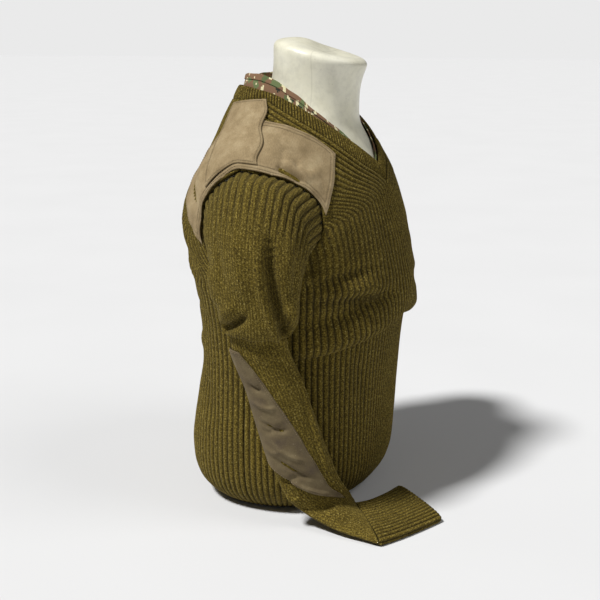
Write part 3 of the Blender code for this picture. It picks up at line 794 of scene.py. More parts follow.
@dataclass(frozen=True)
class Figure:
    """The skin that the cloth is worked over."""

    slices: tuple = (
        Slice(0, 123, 95, 86, 2.3),
        Slice(6, 133, 105, 96, 2.3),
        Slice(16, 146, 119, 108, 2.3),
        Slice(32, 158, 130, 119, 2.3),
        Slice(52, 164, 135, 124, 2.3),
        Slice(76, 166, 137, 125, 2.3),
        Slice(106, 166, 139, 121, 2.3),
        Slice(150, 163, 142, 112, 2.3),
        Slice(196, 162, 146, 102, 2.25),
        Slice(241, 165, 150, 100, 2.2),
        Slice(286, 173, 153, 106, 2.2),
        Slice(316, 179, 155, 112, 2.2),
        Slice(346, 184, 155, 121, 2.2),
        Slice(376, 186, 151, 130, 2.2),
        Slice(406, 184, 143, 130, 2.15),
        Slice(436, 179, 134, 120, 2.05),
        Slice(456, 171, 126, 110, 1.95),
        Slice(476, 156, 117, 102, 1.85),
        Slice(496, 134, 107, 95, 1.85),
        Slice(516, 112, 96, 88, 1.9),
        Slice(536, 94, 83, 78, 2.0),
        Slice(556, 81, 71, 68, 2.0),
        Slice(582, 72, 62, 60, 2.0),
    )

    def skin(self, turn: Array, z: Array) -> Array:
        """The skin's points at turns and heights.

        Args:
            turn: Degrees round the body from the centre front.
            z: Heights, in mm.

        Returns:
            The points, in mm.
        """
        turn, z = np.broadcast_arrays(np.asarray(turn, float), np.asarray(z, float))
        heights = column(self.slices, "z")
        width = smooth(z, heights, column(self.slices, "half_width"))
        front = smooth(z, heights, column(self.slices, "front"))
        back = smooth(z, heights, column(self.slices, "back"))
        power = smooth(z, heights, column(self.slices, "power"))
        sine, cosine = np.sin(np.radians(turn)), np.cos(np.radians(turn))
        depth = np.where(cosine > 0, front, back)
        reach = (np.abs(cosine / depth) ** power + np.abs(sine / width) ** power) ** (-1 / power)
        return np.stack([reach * sine, -reach * cosine, z], -1)

    def normal(self, turn: Array, z: Array) -> Array:
        """The skin's outward unit normals.

        Args:
            turn: Degrees round the body from the centre front.
            z: Heights, in mm.

        Returns:
            The normals.
        """
        turn, z = np.asarray(turn, float), np.asarray(z, float)
        along = self.skin(turn + 0.4, z) - self.skin(turn - 0.4, z)
        up = self.skin(turn, z + 0.8) - self.skin(turn, z - 0.8)
        return unit(np.cross(along, up))

    def off(self, turn: Array, z: Array, lift: Array | float) -> Array:
        """Points that stand off the skin by a lift.

        Args:
            turn: Degrees round the body from the centre front.
            z: Heights, in mm.
            lift: How far off the skin, in mm.

        Returns:
            The points, in mm.
        """
        lift = np.asarray(lift, float) + 0 * np.asarray(turn, float)
        return self.skin(turn, z) + self.normal(turn, z) * lift[..., None]


@dataclass(frozen=True)
class FrontRow:
    """A row of the front panel, from its centre or neckline to its side. The last three stand it out."""

    neck_turn: float
    neck_z: float
    side_turn: float
    side_z: float
    centre_out: float
    middle_out: float
    side_out: float


@dataclass(frozen=True)
class BackRow:
    """A row of the back panel. top_share is how far it has bent to the shape of the top edge."""

    neck_z: float
    side_turn: float
    side_z: float
    top_share: float
    centre_out: float
    middle_out: float
    side_out: float


@dataclass
class Panel:
    """What the front and the back panels share: a ribbed sheet over the figure, half by half."""

    figure: Figure
    ribs_per_quarter: int = 32
    wale_pitch: float = 3.5
    rib_height: float = 1.7
    wall: float = 2.2
    samples_per_rib: int = 7
    row_step: float = 3.6
    inner_every: tuple = (5, 14)
    hollow_shade: float = 0.5
    hollow_depth: float = 8.0
    rib_fullness: float = 0.62
    seam_turn: float = 0.1
    name: str = "panel"
    rows: tuple = ()
    underarm: int = 0
    creases: tuple = ()

    def place(self, across: Array, row: Array) -> tuple:
        """Turn and height on the left half.

        Args:
            across: Shares across the half, from its centre to its side.
            row: Row numbers of the table.

        Returns:
            Turns in degrees and heights in mm.
        """
        raise NotImplementedError

    def surface(self, across: Array, row: Array) -> Array:
        """The plain inside of the panel's left half.

        Args:
            across: Shares across the half, from its centre to its side.
            row: Row numbers of the table.

        Returns:
            The points, in mm.
        """
        turn, z = self.place(across, row)
        inner = ease(0, 0.5, across)
        outer = ease(0.5, 1, across)
        centre = read(self.rows, "centre_out", row)
        middle = read(self.rows, "middle_out", row)
        side = read(self.rows, "side_out", row)
        out = centre + (middle - centre) * inner + (side - middle) * outer
        return self.figure.off(turn, z, out)

    def row_length(self, row: float) -> float:
        """The length of a row across the half, in mm."""
        points = self.surface(np.linspace(0, 1, 41), np.full(41, float(row)))
        return float(np.linalg.norm(np.diff(points, axis=0), axis=1).sum())

    def rib_count(self, row: Array) -> Array:
        """How many ribs cross a row of the half: whole below the arm, at a steady pitch above it.

        Args:
            row: Row numbers of the table.

        Returns:
            The counts, in the shape of row.
        """
        samples = np.linspace(0, len(self.rows) - 1, 60)
        lengths = np.array([self.row_length(sample) for sample in samples])
        base = self.row_length(self.underarm)
        counts = self.ribs_per_quarter * np.where(samples > self.underarm, lengths / base, 1.0)
        return np.interp(row, samples, counts)

    def even_rows(self) -> Array:
        """Row places at a steady distance up the cloth.

        Returns:
            The row numbers, from the hem to the top.
        """
        places = np.linspace(0, len(self.rows) - 1, 900)
        line = self.surface(np.full(900, 0.3), places)
        lengths = lengths_along(line)
        count = int(lengths[-1] / self.row_step) + 1
        return np.interp(np.linspace(0, lengths[-1], count), lengths, places)

    def rib_strength(self, across: Array, row: Array, phase: Array) -> Array:
        """How strongly the ribs stand, by place.

        Args:
            across: Shares across the half, from its centre to its side.
            row: Row numbers of the table.
            phase: Counts ribs from the centre.

        Returns:
            Factors on the ribs' height.
        """
        return np.ones_like(across)

    def crease_place(self, places: Array) -> Array:
        """Points of the cloth at a turn and a height, for laying creases."""
        return self.figure.off(places[:, 0], places[:, 1], self.wall + 2)

    def build(self) -> bpy.types.Object:
        """Make the panel: two halves, joined at the centre where the panel is whole.

        Returns:
            The panel.
        """
        work = Cloth()
        rows = self.even_rows()
        count = self.ribs_per_quarter * self.samples_per_rib
        across = np.linspace(0, 1, count + 1)
        grid_across, grid_row = np.meshgrid(across, rows)
        plain = self.surface(grid_across, grid_row)
        normal = normals_of(plain, closed=False)
        radial = np.sum(normal * plain * (1, 1, 0), -1, keepdims=True)
        normal = normal * np.where(radial < 0, -1, 1)
        phase = grid_across * self.rib_count(grid_row)
        rib = rib_profile(phase, self.rib_fullness)
        strength = self.rib_strength(grid_across, grid_row, phase)
        climb = lengths_along(plain[:, count // 3])
        pattern = np.stack([phase * self.wale_pitch, climb[:, None] + 0 * phase], -1) * MM
        reach = grid_across * np.interp(grid_row, rows, [self.row_length(row) for row in rows])
        length = reach[:, -1:]
        edge = np.sqrt(ease(-0.2, 2.0, length - reach))
        for side in (Side.LEFT, Side.RIGHT):
            flip = side.flip
            outside = (plain + normal * self.wall) * flip
            folds = crease_field(outside, self.creases, self.crease_place)
            lift = self.wall * (0.85 + 0.15 * edge) + self.rib_height * rib * strength * edge
            outer_points = (plain + normal * (lift + folds)[..., None]) * flip
            # Painted shade: darker in the grooves between ribs and in the troughs of folds.
            groove_shade = (1 - rib) ** 1.5 * np.clip(strength, 0, 1.2)
            hollow = np.clip(-folds / self.hollow_depth, 0, 1)
            groove_shade = np.clip(groove_shade + self.hollow_shade * hollow, 0, 1.2)
            outer = work.add(outer_points, pattern * (side.value, 1), groove_shade)
            under = (plain + normal * np.minimum(folds, 0)[..., None]) * flip
            under = under[:, ::self.inner_every[1]]
            inner = work.add(under[::self.inner_every[0]])
            if (len(rows) - 1) % self.inner_every[0]:
                inner = np.concatenate([inner, work.add(under[-1:])])
            work.shell(outer, inner, self.inner_every, closed=False)
        return work.build(f"{self.name}_knit", merge=2e-5)


@dataclass
class FrontPanel(Panel):
    """The ribbed front, with its deep V and the big fold that hangs over across the belly."""

    name: str = "front"
    rows: tuple = (
        FrontRow(0, 5, 90, 5, 0, 0, 0),
        FrontRow(0, 22, 90, 22, 0, 0, 0),
        FrontRow(0, 52, 90, 52, 0, 0, 0),
        FrontRow(0, 118, 90, 108, 0, 0, 0),
        FrontRow(0, 195, 90, 170, 0, 0, 0),
        FrontRow(0, 257, 90, 211, 2, 2, 0),
        FrontRow(0, 262, 90, 216, 12, 12, 2),
        FrontRow(0, 275, 90, 225, 18, 19, 4),
        FrontRow(0, 294, 90, 240, 18, 13, 3),
        FrontRow(0, 310, 90, 258, 15, 3, 1),
        FrontRow(0, 329, 90, 282, 10, 8, 1),
        FrontRow(0, 350, 90, 311, 6, 3, 0),
        FrontRow(0, 378, 74, 334, 3, 0, 0),
        FrontRow(0, 405, 62, 361, 0, 0, 0),
        FrontRow(0, 432, 55, 390, 0, 0, 0),
        FrontRow(24, 466, 55, 417, 0, 0, 0),
        FrontRow(46, 499, 62, 440, 0, 0, 0),
        FrontRow(68, 525, 75, 456, 0, 0, 0),
        FrontRow(90, 546, 90, 463, 0, 0, 0),
    )
    creases: tuple = (
        Crease(((-56, 306), (-46, 311), (-34, 313), (-14, 310)), 8.5, 6.0),
        Crease(((-62, 320), (-52, 327), (-42, 332), (-28, 336)), -5.5, 6.5),
        Crease(((-68, 294), (-56, 300), (-40, 298), (-20, 295), (4, 297)), -8.0, 7.5),
        Crease(((-68, 222), (-54, 238), (-41, 249), (-28, 258), (-12, 263)), 8.0, 7.0),
        Crease(((-66, 250), (-56, 264), (-44, 276), (-30, 284)), -3.5, 8.0),
        Crease(((-65, 394), (-62, 374), (-60, 346), (-58, 318)), -5.0, 9.0),
        Crease(((-66, 398), (-59, 407), (-52, 414)), 4.0, 7.0),
        Crease(((-53, 392), (-51, 366), (-48, 344)), 3.0, 8.0),
        Crease(((-44, 396), (-41, 366), (-36, 344)), -2.6, 9.0),
        Crease(((-22, 398), (-16, 362), (-12, 336)), -2.0, 11.0),
        Crease(((-74, 205), (-66, 160), (-60, 96)), -2.4, 11.0),
        Crease(((-38, 226), (-32, 176), (-30, 112)), -2.2, 13.0),
        Crease(((-84, 82), (-80, 76), (-77, 68)), 1.6, 2.6),
        Crease(((18, 306), (32, 311), (46, 306)), 6.0, 6.5),
        Crease(((24, 334), (40, 330), (55, 320)), -4.6, 7.0),
        Crease(((20, 296), (38, 300), (58, 296), (68, 288)), -6.5, 7.5),
        Crease(((30, 257), (44, 248), (56, 236), (68, 222)), 5.5, 7.5),
        Crease(((34, 284), (48, 276), (60, 262)), -3.2, 8.0),
        Crease(((62, 388), (60, 362), (57, 330)), -4.4, 9.0),
        Crease(((48, 396), (46, 368), (42, 342)), 2.6, 8.5),
        Crease(((36, 222), (42, 170), (40, 110)), -2.2, 13.0),
        Crease(((76, 190), (70, 140), (66, 84)), -2.2, 11.0),
    )
    underarm: int = 11
    v_row: int = 14
    strong_ribs: float = 5.0

    def place(self, across: Array, row: Array) -> tuple:
        """Turn and height on the left half of the front.

        Args:
            across: Shares across the half, from its centre to its side.
            row: Row numbers of the table.

        Returns:
            Turns in degrees and heights in mm.
        """
        neck_turn, neck_z = read(self.rows, "neck_turn", row), read(self.rows, "neck_z", row)
        side_turn, side_z = read(self.rows, "side_turn", row), read(self.rows, "side_z", row)
        turn = neck_turn + (side_turn - neck_turn) * across
        return np.minimum(turn, 90 - self.seam_turn), neck_z + (side_z - neck_z) * across

    def rib_strength(self, across: Array, row: Array, phase: Array) -> Array:
        """Strong ribs along the neckline, then a plain strip by the shoulder, then common ribs.

        Args:
            across: Shares across the half, from its centre to its side.
            row: Row numbers of the table.
            phase: Counts ribs from the centre.

        Returns:
            Factors on the ribs' height.
        """
        high = ease(13.6, 15.5, row)
        by_neck = 1 + 0.6 * high * (1 - ease(self.strong_ribs - 0.6, self.strong_ribs, phase))
        shoulder = ease(15.2, 16.2, row)
        strip = ease(self.strong_ribs - 0.3, self.strong_ribs + 0.3, phase)
        return by_neck * (1 - 0.9 * shoulder * strip)


@dataclass
class BackPanel(Panel):
    """The ribbed back."""

    name: str = "back"
    rows: tuple = (
        BackRow(5, 90, 5, 0, 0, 0, 0),
        BackRow(22, 90, 22, 0, 0, 0, 0),
        BackRow(52, 90, 52, 0, 0, 0, 0),
        BackRow(118, 90, 108, 0, 0, 0, 0),
        BackRow(195, 90, 178, 0, 2, 2, 0),
        BackRow(262, 90, 240, 0, 6, 5, 0),
        BackRow(336, 90, 311, 0, 2, 2, 0),
        BackRow(385, 101, 350, 0, 0, 0, 0),
        BackRow(430, 106, 385, 0.1, 0, 0, 0),
        BackRow(472, 106, 417, 0.33, 0, 0, 0),
        BackRow(509, 100, 444, 0.64, 0, 0, 0),
        BackRow(540, 90, 463, 1, 0, 0, 0),
    )
    creases: tuple = (
        Crease(((-142, 428), (-128, 402), (-114, 372)), -3.1, 5.4),
        Crease(((-136, 410), (-122, 380), (-110, 350)), 2.9, 5.4),
        Crease(((-150, 392), (-132, 360), (-112, 322)), -3.6, 7.2),
        Crease(((-134, 350), (-118, 322), (-102, 300)), 3.1, 6.3),
        Crease(((-150, 300), (-128, 282), (-104, 262)), -3.1, 8.1),
        Crease(((-165, 238), (-140, 228), (-110, 214)), 2.9, 8.1),
        Crease(((-120, 200), (-110, 150), (-104, 96)), -1.9, 11.7),
        Crease(((140, 426), (126, 398), (112, 366)), -3.4, 5.9),
        Crease(((134, 404), (120, 372), (108, 344)), 2.6, 5.4),
        Crease(((154, 384), (134, 348), (110, 318)), -3.6, 7.7),
        Crease(((150, 292), (126, 276), (102, 258)), -2.9, 7.7),
        Crease(((168, 232), (142, 224), (112, 206)), 2.9, 8.6),
        Crease(((176, 262), (200, 258), (222, 246)), -2.4, 8.1),
        Crease(((128, 190), (116, 142), (108, 90)), -1.9, 11.7),
        Crease(((188, 450), (184, 400), (186, 340)), -1.7, 12.6),
    )
    underarm: int = 20
    neck_point_z: float = 546
    neck_share: float = 0.46

    def place(self, across: Array, row: Array) -> tuple:
        """Turn and height on the left half of the back.

        Args:
            across: Shares across the half, from its centre to its side.
            row: Row numbers of the table.

        Returns:
            Turns in degrees and heights in mm.
        """
        neck_z, side_turn = read(self.rows, "neck_z", row), read(self.rows, "side_turn", row)
        side_z, share = read(self.rows, "side_z", row), read(self.rows, "top_share", row)
        last = self.rows[-1]
        round_neck = np.clip(across / self.neck_share, 0, 1)
        down_seam = np.clip((across - self.neck_share) / (1 - self.neck_share), 0, 1)
        top_z = last.neck_z + (self.neck_point_z - last.neck_z) * round_neck
        top_z = top_z + (last.side_z - self.neck_point_z) * down_seam
        straight_z = last.neck_z + (last.side_z - last.neck_z) * across
        turn = 180 + (side_turn - 180) * across + share * 90 * (across - round_neck)
        z = neck_z + (side_z - neck_z) * across + share * (top_z - straight_z)
        return np.maximum(turn, 90 + self.seam_turn), z


@dataclass(frozen=True)
class BandEdge:
    """A place on the neckband's upper edge, from the V to the centre back."""

    share: float
    turn: float
    z: float
    facing_above: float


@dataclass
class Neck:
    """The ribbed neckband and the printed facing inside it."""

    figure: Figure
    front: FrontPanel
    back: BackPanel
    edge: tuple = (
        BandEdge(0.0, 0, 460, 3),
        BandEdge(0.19, 23, 491, 7),
        BandEdge(0.36, 46, 520, 12),
        BandEdge(0.5, 68, 542, 16),
        BandEdge(0.625, 91, 556, 19),
        BandEdge(0.75, 121, 562, 18),
        BandEdge(0.87, 151, 562, 15),
        BandEdge(1.0, 180, 560, 13),
    )
    ribs: int = 74
    rib_height: float = 1.7
    wall: float = 2.6
    samples: int = 8
    across_steps: int = 12
    seam_gap: float = 0.6
    wale_pitch: float = 3.5
    rib_fullness: float = 0.8
    facing_below: float = 9.0
    facing_inset: float = 2.5
    least_inset: float = 0.9

    def neckline(self, share: Array) -> Array:
        """The panels' neck edge, evenly read from the V to the centre back.

        Args:
            share: Shares of the way from the V to the centre back.

        Returns:
            The points, in mm.
        """
        rows = np.linspace(self.front.v_row, len(self.front.rows) - 1, 120)
        front = self.front.surface(np.zeros(120), rows)
        columns = np.linspace(self.back.neck_share, 0, 120)
        back = self.back.surface(columns, np.full(120, float(len(self.back.rows) - 1)))
        line = np.concatenate([front, back])
        lengths = lengths_along(line)
        wanted = share * lengths[-1]
        return read_line(line, lengths, wanted)

    def edge_value(self, share: Array, name: str) -> Array:
        """A column of the edge's table, read smoothly at shares of the way round."""
        return smooth(share, column(self.edge, "share"), column(self.edge, name))

    def band_edge(self, share: Array, lift: float) -> Array:
        """The band's upper edge, off the skin by a lift."""
        return self.figure.off(self.edge_value(share, "turn"), self.edge_value(share, "z"), lift)

    def build_band(self) -> bpy.types.Object:
        """Make the band: a rounded, ribbed strip with its rolled upper edge.

        Returns:
            The band.
        """
        work = Cloth()
        count = self.ribs * self.samples
        share = np.linspace(0, 1, count + 1)
        top = self.band_edge(share, 0.0)
        sewn = self.neckline(share)
        sewn = sewn + unit(top - sewn) * self.seam_gap
        outward = unit(self.band_edge(share, 1.0) - top)
        phase = share * self.ribs
        rib = rib_profile(phase, self.rib_fullness)
        turns = np.linspace(0, 1, 2 * self.across_steps, endpoint=False)
        width = np.linalg.norm(top - sewn, axis=1)
        for side in (Side.LEFT, Side.RIGHT):
            flip = side.flip
            rings, patterns, groove_shades = [], [], []
            for turn in turns:
                angle = 2 * math.pi * turn
                along = 0.5 - 0.5 * math.cos(angle)
                rise = math.sin(angle)
                level = self.wall * (0.5 + 0.5 * np.sign(rise) * abs(rise) ** 0.45)
                bulge = 1.0 if rise > 0 else 0.0
                lift = level + bulge * self.rib_height * rib * abs(rise) ** 0.5
                ring = sewn + (top - sewn) * along + outward * np.asarray(lift)[:, None]
                rings.append(ring * flip)
                patterns.append(np.stack([phase * self.wale_pitch, width * along], -1) * MM)
                # Painted shade in the grooves between the band's ribs, on its outer face.
                groove_shades.append((1 - rib) * bulge)
            grid = work.add(np.array(rings), np.array(patterns), np.array(groove_shades))
            work.grid(np.concatenate([grid, grid[:1]]))
        return work.build("neckband_knit", merge=3e-5)

    def build_facing(self) -> bpy.types.Object:
        """Make the printed strip, its upper edge rolled over.

        Returns:
            The strip.
        """
        work = Cloth()
        share = np.linspace(0, 1, 240)
        turn = self.edge_value(share, "turn")
        z = self.edge_value(share, "z")
        above = self.edge_value(share, "facing_above")
        wave = 0.5 * np.sin(share * 31) + 0.35 * np.sin(share * 57 + 1)
        line = self.figure.off(turn, z, 0.0)
        along = lengths_along(line)
        outline = [(0.0, 0.0)] + [(step, 0.0) for step in np.linspace(0.1, 0.92, 9)]
        outline += [(0.92 + 0.08 * math.sin(roll), 1.3 * (1 - math.cos(roll)))
                    for roll in np.linspace(0.5, math.pi, 7)]
        outline += [(0.8, 2.6), (0.72, 2.5)]
        for side in (Side.LEFT, Side.RIGHT):
            flip = side.flip
            rings, patterns = [], []
            for climb, back in outline:
                rise = -self.facing_below + (above + self.facing_below + wave * climb) * climb
                inset = -self.facing_inset + back * 0.55 + wave * 0.4 * climb
                points = self.figure.off(turn, z + rise, np.minimum(inset, -self.least_inset))
                rings.append(points * flip)
                patterns.append(np.stack([along * side.value, rise + back], -1) * MM)
            grid = work.add(np.array(rings), np.array(patterns))
            work.grid(grid)
        return work.build("neck_facing_strip", merge=3e-5)


@dataclass(frozen=True)
class Ring:
    """A flattened ring of an empty sleeve.

    Attributes:
        x: Centre, away from the middle.
        y: Centre, back from the front.
        z: Centre, up.
        half_width: Half its width, towards the front.
        yaw: Turns the width from straight ahead towards the middle.
        slope: Lifts the width's front end.
        half_thick: Half its thickness.
        pitch: Tips the thickness from outward to upward.
    """

    x: float
    y: float
    z: float
    half_width: float
    yaw: float
    slope: float
    half_thick: float
    pitch: float


UPPER_SLEEVE = (
    Ring(188, -31, 384, 66, 6, 0, 74, 84),
    Ring(201, -35, 367, 62, 7, 0, 64, 64),
    Ring(208, -38, 343, 58, 5, 0, 49, 40),
    Ring(209, -40, 317, 54, 4, 0, 34, 15),
    Ring(209, -41, 291, 52, 4, 0, 27, 2),
    Ring(208, -40, 273, 48, 4, 0, 24, 0),
    Ring(206, -38, 264, 41, 5, 0, 20, 0),
)
RIGHT_FOREARM = (
    Ring(203, -37, 266, 36, 8, 0, 16, 0),
    Ring(199, -38, 246, 36, 12, 6, 17, 0),
    Ring(188, -53, 198, 36, 18, 8, 18, 0),
    Ring(180, -67, 146, 37, 22, 9, 18, 3),
    Ring(172, -83, 92, 38, 28, 10, 17, 8),
    Ring(160, -100, 46, 38, 38, 10, 14, 22),
    Ring(146, -121, 21, 36, 72, 6, 12, 55),
    Ring(145, -147, 11, 45, 108, 3, 9, 82),
    Ring(148, -165, 8, 54, 126, 2, 8, 90),
)
LEFT_FOREARM = (
    Ring(203, -36, 266, 36, 2, 0, 16, 0),
    Ring(199, -32, 246, 36, -6, -4, 17, 0),
    Ring(196, -20, 198, 36, -8, -6, 18, 0),
    Ring(196, -4, 146, 37, -11, -8, 18, 0),
    Ring(195, 15, 92, 38, -16, -10, 17, 6),
    Ring(192, 40, 46, 40, -34, -10, 14, 25),
    Ring(180, 68, 21, 42, -64, -6, 12, 55),
    Ring(174, 96, 11, 48, -90, -3, 9, 84),
    Ring(172, 114, 8, 53, -100, -2, 8, 90),
)
RIGHT_CUFF = (
    Ring(147.5, -165.7, 8, 54, 126, 2, 8, 90),
    Ring(121, -182, 6.5, 53, 130, 1, 7, 90),
    Ring(91, -198, 7, 51, 136, 2, 7, 90),
    Ring(60, -213, 9, 49, 142, 5, 7, 90),
)
LEFT_CUFF = (
    Ring(171.8, 114.8, 8, 53, -100, -2, 8, 90),
    Ring(167, 141, 6.5, 52, -99, -1, 7, 90),
    Ring(161, 170, 7, 50, -98, -2, 7, 90),
    Ring(155, 198, 9, 48, -97, -5, 7, 90),
)


RIGHT_SLEEVE_CREASES = (
    Crease(((67, 1.7), (65, 2.4), (60, 3.1), (53, 3.9), (42, 4.9), (24, 6.4)), -4.5, 2.8, 0.2),
    Crease(((62, 1.2), (59, 2.0), (56, 2.6), (51, 3.2), (44, 3.9), (32, 4.8), (16, 6.4)),
           -14.0, 8.0, 0.22),
    Crease(((78, 1.6), (74, 2.5), (69, 3.2), (62, 4.0), (50, 5.2), (24, 7.4), (10, 8.3)), 4.6, 5.5, 0.18),
    Crease(((44, 3.5), (26, 3.7), (4, 3.8)), 4.5, 8.0),
    Crease(((34, 4.7), (14, 5.2), (-10, 5.6)), -13.0, 8.5),
    Crease(((168, 5.1), (148, 4.95), (130, 4.65), (112, 4.25), (94, 3.8)), -12.0, 5.0, 0.2),
    Crease(((150, 4.1), (128, 3.7), (106, 3.35)), 4.5, 8.5),
    Crease(((166, 1.8), (168, 2.8), (164, 3.8)), 7.0, 17.0),
    Crease(((112, 7.3), (86, 7.2), (60, 7.1)), 5.0, 8.0),
    Crease(((104, 8.2), (78, 8.2), (52, 8.3)), 3.0, 11.0),
    Crease(((36, 0.9), (34, 1.7), (30, 2.6)), 2.4, 7.0),
    Crease(((20, 1.4), (18, 2.4), (14, 3.3)), -2.6, 6.5),
    Crease(((106, 1.0), (102, 1.9), (97, 2.8), (92, 3.3)), 3.0, 9.0),
    Crease(((134, 1.2), (130, 2.2), (127, 3.0)), -2.8, 7.5),
    Crease(((10, 8.6), (20, 9.6), (34, 10.6), (46, 11.6), (56, 13.0)), 3.2, 3.6, 0.12),
    Crease(((26, 9.0), (36, 9.8), (48, 10.8), (58, 11.8)), -2.2, 3.4),
    Crease(((124, 8.15), (92, 8.15), (60, 8.2), (28, 8.3)), 1.2, 1.6, 0.2),
    Crease(((150, 8.7), (128, 9.0), (104, 9.1)), -3.0, 3.8),
    Crease(((158, 9.9), (132, 10.1), (104, 10.0), (84, 9.9)), -3.6, 4.2),
    Crease(((160, 10.4), (136, 10.6), (108, 10.6)), 3.0, 3.8),
    Crease(((168, 11.2), (140, 11.4), (110, 11.3), (86, 11.4)), -4.2, 4.6),
    Crease(((176, 11.8), (150, 12.0), (120, 12.1)), 3.0, 4.2),
    Crease(((186, 12.3), (158, 12.6), (126, 12.8), (98, 12.9)), -4.6, 5.0),
    Crease(((150, 13.4), (128, 13.7), (104, 13.8)), -3.0, 4.6),
    Crease(((236, 1.4), (240, 2.4), (244, 3.4)), -3.0, 8.5),
    Crease(((215, 9.0), (240, 9.3), (268, 9.2)), -3.2, 4.6),
    Crease(((222, 10.6), (250, 10.9), (280, 10.8)), -3.2, 4.6),
    Crease(((230, 11.8), (262, 12.2), (292, 12.0)), -3.0, 4.6),
)
LEFT_SLEEVE_CREASES = (
    Crease(((92, 1.0), (96, 1.9), (98, 2.7), (100, 3.6)), -7.2, 8.3, 0.25),
    Crease(((44, 4.6), (62, 4.3), (82, 4.1), (98, 3.9)), -7.8, 4.6, 0.2),
    Crease(((38, 3.7), (58, 3.5), (80, 3.4)), 5.2, 8.3),
    Crease(((118, 4.4), (142, 4.6), (164, 4.6)), -5.9, 5.5),
    Crease(((120, 3.8), (144, 3.95), (164, 4.0)), 3.9, 7.4),
    Crease(((130, 0.9), (126, 1.8), (130, 2.8)), -3.1, 7.4),
    Crease(((60, 1.0), (66, 1.9), (68, 2.8)), 3.1, 8.3),
    Crease(((30, 1.3), (34, 2.2), (36, 3.1)), -2.9, 7.4),
    Crease(((48, 8.6), (70, 8.9), (98, 9.0)), -2.9, 4.1),
    Crease(((40, 9.8), (66, 10.1), (94, 10.1), (120, 9.9)), -3.6, 4.6),
    Crease(((36, 10.6), (60, 10.8), (88, 10.8)), 2.9, 4.1),
    Crease(((30, 11.5), (60, 11.7), (92, 11.6)), -3.9, 4.6),
    Crease(((40, 12.5), (70, 12.8), (100, 12.8)), -3.9, 5.1),
    Crease(((150, 9.2), (180, 9.4), (206, 9.3)), -3.1, 4.6),
    Crease(((156, 10.9), (186, 11.1), (214, 11.0)), -3.1, 4.6),
)


@dataclass
class Tube:
    """A flattened tube of cloth through a table of rings, on one side of the wearer."""

    side: Side
    table: tuple = ()

    def axes(self, place: Array) -> tuple:
        """The directions of a ring's width and thickness, and its centre.

        Args:
            place: Ring numbers, which may lie between two rings.

        Returns:
            Centre, width direction and thickness direction, each with a last axis of 3.
        """
        yaw = np.radians(read(self.table, "yaw", place))
        slope = np.radians(read(self.table, "slope", place))
        pitch = np.radians(read(self.table, "pitch", place))[..., None]
        level = np.cos(slope)
        ahead = np.stack([-np.sin(yaw) * level, -np.cos(yaw) * level, np.sin(slope)], -1)
        outward = np.stack([np.cos(yaw), -np.sin(yaw), 0 * yaw], -1)
        upward = np.cross(ahead, outward)
        upward = upward * np.sign(upward[..., 2:])
        centre = np.stack([read(self.table, name, place) for name in ("x", "y", "z")], -1)
        return centre, ahead, outward * np.cos(pitch) + upward * np.sin(pitch)

    def oval(self, place: Array, angle: Array, inset: float, squareness: float = 2.0) -> Array:
        """Points round the tube, on the left side's frame.

        Args:
            place: Ring numbers.
            angle: Degrees round each ring, from its front.
            inset: How far inside the tube's outer face.
            squareness: 2 is an ellipse, and more has squarer ends.

        Returns:
            The points, in mm.
        """
        place, angle = np.broadcast_arrays(np.asarray(place, float), np.asarray(angle, float))
        centre, ahead, thick = self.axes(place)
        bend = 2 / squareness
        cosine, sine = np.cos(np.radians(angle)), np.sin(np.radians(angle))
        wide = np.sign(cosine) * np.abs(cosine) ** bend * (read(self.table, "half_width", place) - inset)
        deep = np.sign(sine) * np.abs(sine) ** bend * (read(self.table, "half_thick", place) - inset)
        return centre + wide[..., None] * ahead + deep[..., None] * thick

    def even_places(self, step: float, samples: int = 600) -> Array:
        """Ring places at a steady distance down the tube's centre line and its outside.

        Args:
            step: The distance, in mm.
            samples: How finely the tube is measured.

        Returns:
            The ring numbers.
        """
        places = np.linspace(0, len(self.table) - 1, samples)
        travel = np.zeros(samples - 1)
        for angle in (0, 90, 180, 270):
            line = self.oval(places, angle, 0.0)
            travel = np.maximum(travel, np.linalg.norm(np.diff(line, axis=0), axis=1))
        lengths = np.concatenate(([0], np.cumsum(travel)))
        return np.interp(np.arange(0, lengths[-1] + step / 2, step), lengths, places)


